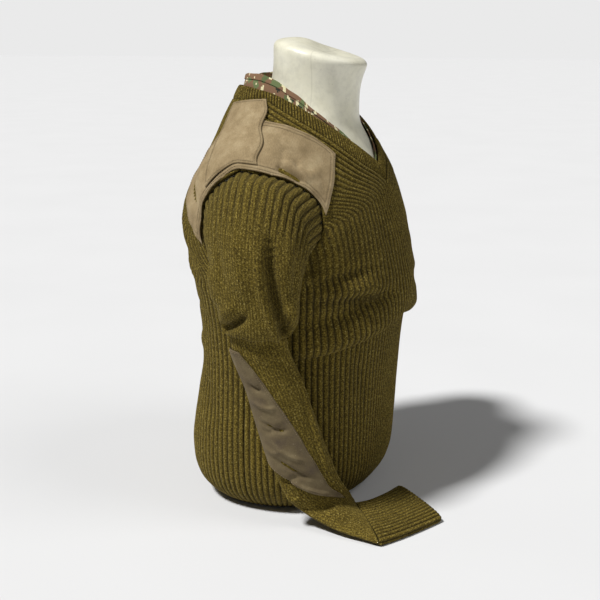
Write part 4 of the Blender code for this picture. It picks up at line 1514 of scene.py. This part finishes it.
@dataclass
class Sleeve(Tube):
    """An empty sleeve, from the armhole to the cuff's seam, and the cuff that lies on the ground."""

    front: FrontPanel | None = None
    back: BackPanel | None = None
    wall: float = 2.4
    head_ribs: int = 40
    head_height: float = 2.5
    head_smoothing: int = 14
    rib_fade: tuple = (62.0, 128.0)
    wale_stretch: float = 0.85
    hollow_shade: float = 0.45
    hollow_depth: float = 12.0
    head_fullness: float = 0.75
    head_puff: float = 3.2
    columns: int = 320
    length_column: int = 80
    step: float = 3.4
    inner_every: tuple = (4, 8)
    armhole_gap: float = 1.4
    creases: tuple = ()
    cuff_ribs: int = 34
    cuff_rib_height: float = 1.9
    cuff_fullness: float = 0.7
    cuff_squareness: float = 3.0
    wale_pitch: float = 3.5
    cuff_columns: int = 340
    cuff_step: float = 3.0
    cuff_inner_every: tuple = (3, 5)
    cuff_table: tuple = ()

    def armhole(self, count: int, gap: float) -> Array:
        """The sewn edge, a step inside the armhole, starting at its front.

        Args:
            count: How many points.
            gap: How far inside, in mm.

        Returns:
            The points of the closed line, in mm.
        """
        rows = np.linspace(self.front.underarm, len(self.front.rows) - 1, 160)
        front = self.front.surface(np.ones(160), rows)
        rows = np.linspace(len(self.back.rows) - 2, 6, 160)
        back = self.back.surface(np.ones(160), rows)
        line = np.concatenate([front, back, front[:1]])
        centre = line[:-1].mean(axis=0)
        lengths = lengths_along(line)
        start = lengths[np.argmin(line[:, 1])] / lengths[-1]
        wanted = (start + np.arange(count) / count) % 1 * lengths[-1]
        points = read_line(line, lengths, wanted)
        return points + unit(centre - points) * gap

    def crease_place(self, places: Array) -> Array:
        """Points of the cloth at an angle and a ring place, for laying creases."""
        return self.oval(places[:, 1], places[:, 0], 0.0)

    def build_sleeve(self) -> bpy.types.Object:
        """Make the sleeve.

        Returns:
            The sleeve.
        """
        work = Cloth()
        places = self.even_places(self.step)
        angles = np.arange(self.columns) * 360 / self.columns
        grid_angle, grid_place = np.meshgrid(angles, places)
        plain = self.oval(grid_place, grid_angle, 0.0)
        head = self.armhole(self.columns, self.armhole_gap)
        steps = np.linspace(0, 1, 5)[:-1]
        puff = np.array([1.0, 0, 0]) * self.head_puff
        start = np.array([head + (plain[0] - head) * step + puff * math.sin(math.pi * step * 0.5)
                          for step in steps])
        plain = np.concatenate([start, plain])
        plain[4:12] += (1 - ease(0, 1, np.linspace(0, 1, 8)))[:, None, None] * puff
        for _ in range(self.head_smoothing):
            plain[1:26] = (plain[:25] + 2 * plain[1:26] + plain[2:27]) / 4
        normal = tube_normals(plain)
        down = lengths_along(plain[:, self.length_column])
        share = np.broadcast_to(angles / 360, plain.shape[:2])
        phase = share * self.head_ribs
        fade = 1 - ease(self.rib_fade[0], self.rib_fade[1], down)[:, None]
        rib = rib_profile(phase, self.head_fullness)
        folds = crease_field(plain, self.creases, self.crease_place)
        lift = self.head_height * (rib - 0.25) * fade + folds
        outer_points = plain + normal * lift[..., None]
        outer_points[..., 2] = np.maximum(outer_points[..., 2], 0.0)
        inner_points = plain + normal * (np.minimum(folds, 0) - self.wall)[..., None]
        inner_points = inner_points[::self.inner_every[0], ::self.inner_every[1]]
        inner_points[..., 2] = np.maximum(inner_points[..., 2], self.wall)
        flip = self.side.flip
        around = girth_along(plain)
        around = around - around[:, self.columns // 4:self.columns // 4 + 1]
        pattern = np.stack([around * self.wale_stretch, down[:, None] + 0 * share], -1) * MM
        # Painted shade: darker in the grooves between the head's ribs and in the troughs of creases.
        hollow = np.clip(-folds / self.hollow_depth, 0, 1)
        groove_shade = np.clip((1 - rib) ** 1.3 * fade + self.hollow_shade * hollow, 0, 1.2)
        outer = work.add(outer_points * flip, pattern, groove_shade)
        inner = work.add(inner_points * flip)
        work.shell(outer, inner, self.inner_every, closed=True)
        return work.build(f"sleeve_{self.side.word}_knit")

    def build_cuff(self) -> bpy.types.Object:
        """Make the cuff, with lengthwise ribs.

        Returns:
            The cuff.
        """
        work = Cloth()
        tube = Tube(self.side, self.cuff_table)
        places = tube.even_places(self.cuff_step)
        rows, columns = self.cuff_inner_every
        angles = np.arange(self.cuff_columns) * 360 / self.cuff_columns
        grid_angle, grid_place = np.meshgrid(angles, places)
        plain = tube.oval(grid_place, grid_angle, 0.0, self.cuff_squareness)
        normal = tube_normals(plain)
        around = girth_along(plain)
        phase = around / around[:, -1:] * self.cuff_ribs
        rib = rib_profile(phase, self.cuff_fullness)
        down = lengths_along(plain[:, self.length_column])
        edge = np.sqrt(ease(-0.3, 2.2, down) * ease(-0.3, 2.2, down[-1] - down))[:, None]
        lift = self.cuff_rib_height * (rib - 0.3) * (0.4 + 0.6 * edge) - 0.8 * (1 - edge)
        outer_points = plain + normal * lift[..., None]
        outer_points[..., 2] = np.maximum(outer_points[..., 2], 0.0)
        inner_points = tube.oval(grid_place, grid_angle, self.wall, self.cuff_squareness)[::rows, ::columns]
        inner_points[..., 2] = np.maximum(inner_points[..., 2], self.wall * 0.9)
        flip = self.side.flip
        pattern = np.stack([phase * self.wale_pitch, down[:, None] + 0 * phase], -1) * MM
        # Painted shade in the grooves between the cuff's ribs.
        outer = work.add(outer_points * flip, pattern, (1 - rib) ** 1.3)
        inner = work.add(inner_points * flip, pattern[::rows, ::columns])
        work.shell(outer, inner, (rows, columns), closed=True)
        return work.build(f"cuff_{self.side.word}_knit")


@dataclass(frozen=True)
class PatchEdge:
    """A place along a shoulder patch, with its lower and upper ends."""

    low_turn: float
    low_z: float
    high_turn: float
    high_z: float


SHOULDER_PATCH = (
    PatchEdge(54, 408, 43, 478),
    PatchEdge(55.6, 420.5, 50, 493),
    PatchEdge(61.9, 440.5, 64, 508),
    PatchEdge(75, 456.5, 79, 517),
    PatchEdge(90, 463.5, 92, 519),
    PatchEdge(100.4, 444, 106, 513),
    PatchEdge(106.0, 416.5, 120, 496),
    PatchEdge(106.0, 389.5, 126, 450),
    PatchEdge(105, 369, 116, 398),
)
EPAULETTE = (
    PatchEdge(82, 467, 87, 544),
    PatchEdge(91, 469, 98, 543),
    PatchEdge(99, 457, 110, 541),
    PatchEdge(105, 438, 122, 538),
)


@dataclass
class Patch:
    """A thin woven piece sewn on over the knit: what the shoulder and elbow pieces share.

    Its two directions are a share across it and a place along it.
    """

    side: Side
    name: str = "patch"
    wall: float = 1.2
    creases: tuple = ()
    rows: tuple = ()
    over: int = 72
    along: int = 180
    last_place: float = 1.0
    edge_wave: float = 0.5
    inner_steps: tuple = (18, 30)
    seam_grid: tuple = (90, 160)
    seam_dent: float = 0.35
    seam_shade: float = 0.28
    hollow_shade: float = 0.4
    hollow_depth: float = 8.0

    def surface(self, across: Array, place: Array, lift: float) -> Array:
        """Points of the patch, on the left side's frame, raised by a lift.

        Args:
            across: Shares across the patch.
            place: Places along it, as row numbers of its table.
            lift: How far to raise the points, in mm.

        Returns:
            The points, in mm.
        """
        raise NotImplementedError

    def crease_place(self, places: Array) -> Array:
        """Points of the patch at a share across and a place along it."""
        return self.surface(places[:, 0], places[:, 1], 0.0)

    def worked(self, across: Array, place: Array) -> tuple:
        """The plain surface, its normals, its creases and its distances, at a grid of places.

        Args:
            across: Shares across, rows by columns.
            place: Places along, rows by columns.

        Returns:
            Points, normals, folds, the distances along and over, and the distance in from the
            nearest edge, all in mm.
        """
        plain = self.surface(across, place, 0.0)
        normal = unit(self.surface(across, place, 1.0) - plain)
        along = np.linalg.norm(np.diff(plain, axis=1), axis=-1)
        along = np.concatenate([np.zeros((len(plain), 1)), np.cumsum(along, axis=1)], axis=1)
        over = np.linalg.norm(np.diff(plain, axis=0), axis=-1)
        over = np.concatenate([np.zeros((1, plain.shape[1])), np.cumsum(over, axis=0)], axis=0)
        margin = np.stack([along, along[:, -1:] - along, over, over[-1:] - over]).min(axis=0)
        folds = crease_field(plain, self.creases, self.crease_place) * ease(-2, 7, margin)
        ripple = self.edge_wave * (np.sin(along / 5.3 + 0.7) + np.sin(along / 8.9 + over / 6.1))
        return plain, normal, folds + ripple * (1 - ease(2, 12, margin)), along, over, margin

    def build(self) -> bpy.types.Object:
        """Make the patch: a thin sheet with a turned edge, its wrinkles and the dents of its seams.

        Returns:
            The patch.
        """
        work = Cloth()
        grid_place, grid_across = np.meshgrid(np.linspace(0, self.last_place, self.along),
                                              np.linspace(0, 1, self.over))
        plain, normal, folds, along, over, margin = self.worked(grid_across, grid_place)
        round_edge = np.sqrt(np.clip(1 - (1 - np.clip(margin / 1.8, 0, 1)) ** 2, 0, 1))
        seam = sum(np.exp(-((margin - row) / 0.9) ** 2) for row in self.rows)
        lift = self.wall * (0.1 + 0.9 * round_edge) + folds - self.seam_dent * seam
        flip = self.side.flip
        # Painted shade: darker in the troughs of folds and along the dents of the seam rows.
        dark_print_and_shade = np.clip(-folds / self.hollow_depth, 0, 1) * self.hollow_shade + self.seam_shade * seam
        outer = work.add((plain + normal * lift[..., None]) * flip, np.stack([along, over], -1) * MM, dark_print_and_shade)
        under = plain + normal * np.minimum(folds, 0)[..., None]
        every = ((self.over - 1) // self.inner_steps[0], (self.along - 1) // self.inner_steps[1])
        rows = np.minimum(np.arange(0, self.over + every[0] - 1, every[0]), self.over - 1)
        columns = np.minimum(np.arange(0, self.along + every[1] - 1, every[1]), self.along - 1)
        inner = work.add(under[np.ix_(rows, columns)] * flip)
        work.shell(outer, inner, every, closed=False)
        return work.build(f"{self.name}_{self.side.word}_drill")

    def build_seams(self) -> bpy.types.Object:
        """Make the rows of stitches that follow the patch's edge.

        Returns:
            The joined stitches.
        """
        lines = []
        grid_place, grid_across = np.meshgrid(np.linspace(0, self.last_place, self.seam_grid[1]),
                                              np.linspace(0, 1, self.seam_grid[0]))
        plain, normal, folds, along, over, _ = self.worked(grid_across, grid_place)
        flip = self.side.flip
        top = (plain + normal * (self.wall + folds)[..., None]) * flip
        facing = normal * flip
        for row in self.rows:
            low = np.argmin(np.abs(over - row), axis=0)
            high = np.argmin(np.abs(over[-1:] - over - row), axis=0)
            first = np.argmin(np.abs(along - row), axis=1)
            final = np.argmin(np.abs(along[:, -1:] - along - row), axis=1)
            columns = np.arange(first[low[0]], final[low[-1]] + 1)
            upper = np.arange(first[high[0]], final[high[-1]] + 1)
            front = np.arange(low[first[0]], high[first[-1]] + 1)
            back = np.arange(low[final[0]], high[final[-1]] + 1)
            for rows_at, columns_at in ((low[columns], columns), (high[upper], upper),
                                        (front, first[front]), (back, final[back])):
                if len(rows_at) > 3:
                    lines.append((top[rows_at, columns_at], facing[rows_at, columns_at]))
        return stitches(f"{self.name}_{self.side.word}_stitches", lines)


@dataclass
class ShoulderPatch(Patch):
    """A patch or a strap that lies over the shoulder."""

    figure: Figure | None = None
    table: tuple = SHOULDER_PATCH
    lift: float = 4.8
    front_wave: float = 0.0

    def surface(self, across: Array, place: Array, lift: float) -> Array:
        """Points of the patch, on the left side's frame, raised by a lift.

        Args:
            across: Shares across the patch.
            place: Places along it, as row numbers of its table.
            lift: How far to raise the points, in mm.

        Returns:
            The points, in mm.
        """
        low_turn, low_z = read(self.table, "low_turn", place), read(self.table, "low_z", place)
        high_turn, high_z = read(self.table, "high_turn", place), read(self.table, "high_z", place)
        bend = self.front_wave * np.sin(across * 13.0 + 0.6) * np.exp(-((np.asarray(place) / 0.35) ** 2))
        turn = low_turn + (high_turn - low_turn) * across + bend
        crown = 0.8 * np.sin(np.pi * np.clip(across, 0, 1)) if self.front_wave else 0.0
        return self.figure.off(turn, low_z + (high_z - low_z) * across, self.lift + lift + crown)


@dataclass(frozen=True)
class ElbowRow:
    """A line across the elbow patch, from its front edge round the sleeve to its back edge."""

    front_place: float
    front_angle: float
    middle_place: float
    back_place: float
    back_angle: float


@dataclass
class ElbowPatch(Patch):
    """A patch round the back of the lower sleeve."""

    sleeve: Sleeve | None = None
    lift: float = 1.7
    sleeve_fold_share: float = 0.8
    table: tuple = (
        ElbowRow(8.0, 128, 7.9, 8.1, 222),
        ElbowRow(8.5, 112, 8.35, 8.5, 229),
        ElbowRow(9.2, 97, 8.9, 8.9, 231),
        ElbowRow(9.8, 83, 9.4, 9.3, 231),
        ElbowRow(10.6, 70, 9.9, 9.7, 231),
        ElbowRow(11.5, 63, 10.4, 10.1, 231),
        ElbowRow(12.3, 62, 10.85, 10.5, 229),
        ElbowRow(12.9, 66, 11.2, 10.8, 224),
    )

    def surface(self, across: Array, place: Array, lift: float) -> Array:
        """Points of the patch, on the left side's frame, raised by a lift.

        Args:
            across: Shares across the patch.
            place: Places along it, as row numbers of its table.
            lift: How far to raise the points, in mm.

        Returns:
            The points, in mm.
        """
        across = np.asarray(across, float)
        angle = read(self.table, "front_angle", place)
        angle = angle + (read(self.table, "back_angle", place) - angle) * across
        front, middle = read(self.table, "front_place", place), read(self.table, "middle_place", place)
        back = read(self.table, "back_place", place)
        curve = front * (1 - across) * (1 - 2 * across) + 4 * middle * across * (1 - across)
        ring = curve + back * across * (2 * across - 1)
        plain = self.sleeve.oval(ring, angle, -self.lift - lift)
        folds = crease_field(plain, self.sleeve.creases, self.sleeve.crease_place)
        on_sleeve = self.sleeve.oval(ring, angle, -self.lift)
        outward = unit(self.sleeve.oval(ring, angle, -self.lift - 1.0) - on_sleeve)
        return plain + outward * (folds * self.sleeve_fold_share)[..., None]


RIGHT_SHOULDER_CREASES = (
    Crease(((0.16, 3.05), (0.13, 2.7), (0.09, 2.35), (0.05, 2.05)), -5.5, 4.6, 0.3),
    Crease(((0.34, 3.0), (0.28, 2.55), (0.20, 2.05), (0.14, 1.7)), 3.4, 5.4),
    Crease(((0.08, 2.8), (0.30, 2.74), (0.58, 2.68)), -2.8, 4.0, 0.5),
    Crease(((0.50, 2.3), (0.34, 2.25), (0.20, 2.3)), -2.4, 3.6, 0.5),
    Crease(((0.56, 3.2), (0.53, 2.6), (0.57, 2.0), (0.63, 1.3)), -1.7, 6.5),
    Crease(((0.20, 1.9), (0.34, 1.6), (0.46, 1.1)), 2.2, 6.0),
    Crease(((0.30, 1.3), (0.24, 0.9), (0.22, 0.5)), -1.8, 5.0),
    Crease(((0.96, 5.7), (0.70, 5.75), (0.40, 5.55), (0.16, 5.3)), -3.4, 4.6, 0.5),
    Crease(((0.90, 6.3), (0.60, 6.25), (0.24, 6.0)), 3.0, 4.8, 0.5),
    Crease(((0.94, 6.8), (0.64, 6.75), (0.30, 6.6), (0.08, 6.4)), -3.6, 4.4, 0.5),
    Crease(((0.86, 7.25), (0.56, 7.2), (0.22, 7.1)), 2.6, 4.6, 0.5),
    Crease(((0.25, 4.4), (0.15, 5.0), (0.12, 5.6)), -2.2, 4.6),
)
LEFT_SHOULDER_CREASES = (
    Crease(((0.14, 3.1), (0.11, 2.6), (0.07, 2.1)), -4.2, 4.8, 0.3),
    Crease(((0.34, 2.8), (0.26, 2.3), (0.18, 1.8)), 2.6, 5.8),
    Crease(((0.60, 3.0), (0.54, 2.3), (0.60, 1.5)), -1.7, 6.5),
    Crease(((0.10, 2.2), (0.34, 2.1), (0.56, 2.2)), -2.2, 4.2, 0.5),
    Crease(((0.96, 5.5), (0.64, 5.6), (0.34, 5.4), (0.12, 5.2)), -3.0, 4.8, 0.5),
    Crease(((0.90, 6.05), (0.60, 6.05), (0.24, 5.9)), 2.6, 5.0, 0.5),
    Crease(((0.92, 6.6), (0.60, 6.5), (0.28, 6.35), (0.1, 6.2)), -3.2, 4.6, 0.5),
)
STRAP_CREASES = (
    Crease(((0.62, 0.3), (0.58, 1.2), (0.62, 2.4)), -0.7, 5.0),
    Crease(((0.22, 0.6), (0.26, 1.6), (0.2, 2.6)), 0.6, 6.0),
)
RIGHT_ELBOW_CREASES = (
    Crease(((0.06, 1.6), (0.20, 1.9), (0.40, 1.9)), -3.4, 3.0),
    Crease(((0.04, 2.6), (0.22, 2.8), (0.46, 2.7)), 3.1, 3.0),
    Crease(((0.05, 3.4), (0.25, 3.8), (0.48, 3.7)), -3.8, 3.2),
    Crease(((0.08, 4.6), (0.26, 4.8), (0.44, 4.6)), 2.9, 3.0),
    Crease(((0.10, 5.4), (0.30, 5.6), (0.50, 5.5)), -3.8, 3.4),
    Crease(((0.06, 6.7), (0.24, 6.75), (0.44, 6.8)), 4.5, 3.8),
    Crease(((0.64, 2.0), (0.76, 3.2), (0.82, 4.4)), -3.4, 4.2),
)
LEFT_ELBOW_CREASES = (
    Crease(((0.10, 1.4), (0.34, 1.7), (0.56, 1.6)), -2.6, 3.2),
    Crease(((0.08, 2.9), (0.30, 3.2), (0.56, 3.0)), 2.4, 3.2),
    Crease(((0.12, 4.2), (0.36, 4.4), (0.60, 4.3)), -2.9, 3.4),
    Crease(((0.10, 6.0), (0.34, 6.1), (0.58, 6.0)), 2.9, 3.6),
)


@dataclass(frozen=True)
class NeckRing:
    """A ring of the dress form's neck, in mm."""

    z_front: float
    z_back: float
    y: float
    radius: float


@dataclass
class DressForm:
    """The limbless form that carries the garment: a moulded shell with a rounded top to its neck."""

    figure: Figure
    sides: int = 64
    clearance: tuple = ((0, 6.0), (350, 6.0), (426, 4.0), (464, 4.0), (480, 6.5), (600, 6.5))
    levels: tuple = (0, 8, 22, 45, 110, 200, 290, 360, 410, 440, 460, 478, 496, 512)
    base_shares: tuple = (0.5, 0.93, 0.985)
    neck: tuple = (
        NeckRing(528, 532, -17, 76),
        NeckRing(542, 552, -31, 63),
        NeckRing(560, 572, -36, 59),
        NeckRing(580, 600, -40, 61),
        NeckRing(588, 612, -42, 63.5),
        NeckRing(594, 620, -41, 61.5),
        NeckRing(597.5, 624, -41, 55),
        NeckRing(599, 625.5, -41, 42),
        NeckRing(599.5, 626, -41, 18),
    )

    def rings(self) -> list:
        """The form's rings, in mm, from the middle of its base to the top of its neck.

        Returns:
            An array of points for each ring.
        """
        turn = np.arange(self.sides) * 360 / self.sides
        heights, gaps = zip(*self.clearance)
        body = []
        for level in self.levels:
            gap = float(np.interp(level, heights, gaps))
            ring = self.figure.off(turn, np.full(self.sides, float(level)), -gap)
            ring[:, 2] = level
            body.append(ring)
        base = [body[0] * (share, share, 1) for share in self.base_shares]
        sine, cosine = np.sin(np.radians(turn)), np.cos(np.radians(turn))
        neck = []
        for row in self.neck:
            level = (row.z_front + row.z_back) / 2 + cosine * (row.z_front - row.z_back) / 2
            neck.append(np.stack([row.radius * sine, row.y - row.radius * cosine, level], -1))
        return base + body + neck

    def build(self) -> bpy.types.Object:
        """Extrude a circle up through the rings, close both ends and smooth the shell.

        Returns:
            The form.
        """
        rings = self.rings()
        bpy.ops.object.select_all(action="DESELECT")
        bpy.ops.mesh.primitive_circle_add(vertices=self.sides, radius=1.0)
        piece = bpy.context.object
        piece.name = "dress_form_shell"
        piece.data.name = piece.name
        bpy.ops.object.mode_set(mode="EDIT")
        bpy.ops.mesh.select_all(action="SELECT")
        before = np.array([vertex.co for vertex in piece.data.vertices])
        order = np.argsort(np.arctan2(before[:, 0], -before[:, 1]) % (2 * math.pi - 1e-6))
        before = before[order]
        for number, ring in enumerate(rings):
            if number:
                bpy.ops.mesh.extrude_region_move()
            mesh = bmesh.from_edit_mesh(piece.data)
            for vertex in (item for item in mesh.verts if item.select):
                nearest = int(np.argmin(np.linalg.norm(before - np.array(vertex.co), axis=1)))
                vertex.co = ring[nearest] * MM
            bmesh.update_edit_mesh(piece.data)
            if number in (0, len(rings) - 1):
                bpy.ops.mesh.edge_face_add()
                bpy.ops.mesh.select_all(action="DESELECT")
                mesh = bmesh.from_edit_mesh(piece.data)
                for vertex in mesh.verts:
                    off_ring = np.linalg.norm(ring * MM - np.array(vertex.co), axis=1)
                    vertex.select = bool(off_ring.min() < 1e-6)
                for edge in mesh.edges:
                    edge.select = all(vertex.select for vertex in edge.verts) and len(edge.link_faces) < 2
            before = ring * MM
        bpy.ops.mesh.select_all(action="SELECT")
        bpy.ops.mesh.normals_make_consistent(inside=False)
        bpy.ops.object.mode_set(mode="OBJECT")
        modifier = piece.modifiers.new("smooth", "SUBSURF")
        modifier.levels = modifier.render_levels = 2
        bpy.ops.object.modifier_apply(modifier=modifier.name)
        piece.data.shade_smooth()
        return piece


@dataclass
class Studio:
    """The camera at the photograph's view, the pale floor and the soft lights.

    The room is brighter to the eye than the light that it gives, as a lit backdrop is.
    """

    facing: float = 22.0
    distance: float = 1.5
    height: float = 0.626
    aside: float = 0.0112
    look_height: float = 0.260
    lens: float = 64.8
    sensor: float = 36.0
    key_strength: float = 4.1
    key_spread: float = 9.0
    fill_strength: float = 0.6
    fill_spread: float = 30.0
    room_light: float = 0.12
    floor_size: float = 60.0
    backdrop: str = "#eaeaea"

    def build(self, floor: PaleFloor) -> None:
        """Make the camera, the floor and the lights.

        Args:
            floor: The floor's finish.
        """
        turn = math.radians(self.facing)
        behind = Vector((-math.cos(turn), -math.sin(turn), 0))
        right = Vector((math.sin(turn), -math.cos(turn), 0))
        data = bpy.data.cameras.new("camera")
        data.sensor_width = self.sensor
        data.lens = self.lens
        camera = bpy.data.objects.new("camera", data)
        bpy.context.scene.collection.objects.link(camera)
        camera.location = behind * self.distance + right * self.aside + Vector((0, 0, self.height))
        aim = right * self.aside + Vector((0, 0, self.look_height))
        camera.rotation_euler = (aim - camera.location).to_track_quat("-Z", "Y").to_euler()
        bpy.context.scene.camera = camera
        bpy.ops.object.select_all(action="DESELECT")
        bpy.ops.mesh.primitive_plane_add(size=self.floor_size, location=(0, 0, 0))
        plane = bpy.context.object
        plane.name = "floor"
        plane.data.materials.append(floor.material)
        for name, strength, spread, toward in (
            ("key", self.key_strength, self.key_spread,
             behind * 0.5 - right * 0.82 + Vector((0, 0, 1.5))),
            ("fill", self.fill_strength, self.fill_spread,
             behind * 0.35 + right * 1.0 + Vector((0, 0, 1.1))),
        ):
            light = bpy.data.lights.new(name, "SUN")
            light.energy = strength
            light.angle = math.radians(spread)
            lamp = bpy.data.objects.new(name, light)
            lamp.location = toward
            lamp.rotation_euler = toward.to_track_quat("Z", "Y").to_euler()
            bpy.context.scene.collection.objects.link(lamp)
        world = bpy.data.worlds.new("studio")
        world.use_nodes = True
        tree = world.node_tree
        seen = add_node(tree, "ShaderNodeLightPath").outputs["Is Camera Ray"]
        strength = add_node(tree, "ShaderNodeMapRange", {3: self.room_light, 4: 1.0}, {0: seen}).outputs[0]
        tree.nodes["Background"].inputs[0].default_value = linear(self.backdrop)
        tree.links.new(strength, tree.nodes["Background"].inputs[1])
        bpy.context.scene.world = world
        bpy.context.scene.view_settings.view_transform = "Standard"


class Hold(Enum):
    """How a cloth piece is held."""

    DRAPED = "draped"
    HUNG = "hung"
    LAID = "laid"
    STRETCHED = "stretched"


@dataclass(frozen=True)
class CutSheet:
    """The flat size that a cloth piece was cut or knitted to, in metres and square metres."""

    width: float
    length: float
    held: Hold
    area: float | None = None


def hand_over(piece: bpy.types.Object, finish: Finish,
              node: str = "") -> bpy.types.Object:
    """Dress a piece, let it stand for its CAD node and report it.

    Args:
        piece: The piece.
        finish: Its material.
        node: The CAD node that it replaces, if any.

    Returns:
        The piece.
    """
    finish.wear(piece)
    if node:
        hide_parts(node)
    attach(piece, BODY)
    LOG.info("%s: %d faces", piece.name, len(piece.data.polygons))
    return piece


def main() -> None:
    """Build the scene's classes in order and report each piece."""
    logging.basicConfig(level=logging.INFO, format="%(message)s")
    finishes = Finishes()
    Studio().build(finishes.floor)
    figure = Figure()
    form = hand_over(DressForm(figure).build(), finishes.shell, "dress_form")
    front = FrontPanel(figure)
    back = BackPanel(figure)
    for panel in (front, back):
        piece = hand_over(panel.build(), finishes.wool, panel.name)
    neck = Neck(figure, front, back)
    piece = hand_over(neck.build_band(), finishes.wool, "neckband")
    piece = hand_over(neck.build_facing(), finishes.camouflage, "neck_facing")
    for side in Side:
        right = side is Side.RIGHT
        sleeve = Sleeve(side, UPPER_SLEEVE + (RIGHT_FOREARM if right else LEFT_FOREARM),
                        front=front, back=back, cuff_table=RIGHT_CUFF if right else LEFT_CUFF,
                        creases=RIGHT_SLEEVE_CREASES if right else LEFT_SLEEVE_CREASES)
        piece = hand_over(sleeve.build_sleeve(), finishes.wool, f"sleeve_{side.word}")
        piece = hand_over(sleeve.build_cuff(), finishes.wool, f"cuff_{side.word}")
        patches = (
            (ShoulderPatch(side, "shoulder_patch", rows=(3.5, 8.5), last_place=8.0, figure=figure,
                           creases=RIGHT_SHOULDER_CREASES if right else LEFT_SHOULDER_CREASES),
             finishes.drill, "front_knit"),
            (ShoulderPatch(side, "epaulette", wall=1.4, rows=(3.0,), last_place=3.0, figure=figure,
                           table=EPAULETTE, lift=7.1, front_wave=1.1, creases=STRAP_CREASES, edge_wave=0.15,
                           along=90),
             finishes.drill, f"shoulder_patch_{side.word}_drill"),
            (ElbowPatch(side, "elbow_patch", rows=(3.0,), last_place=7.0, sleeve=sleeve,
                        creases=RIGHT_ELBOW_CREASES if right else LEFT_ELBOW_CREASES),
             finishes.shaded_drill, f"sleeve_{side.word}_knit"),
        )
        for patch, finish, below in patches:
            piece = hand_over(patch.build(), finish, f"{patch.name}_{side.word}")
            seams = hand_over(patch.build_seams(), finishes.thread)


if __name__ == "__main__":
    main()
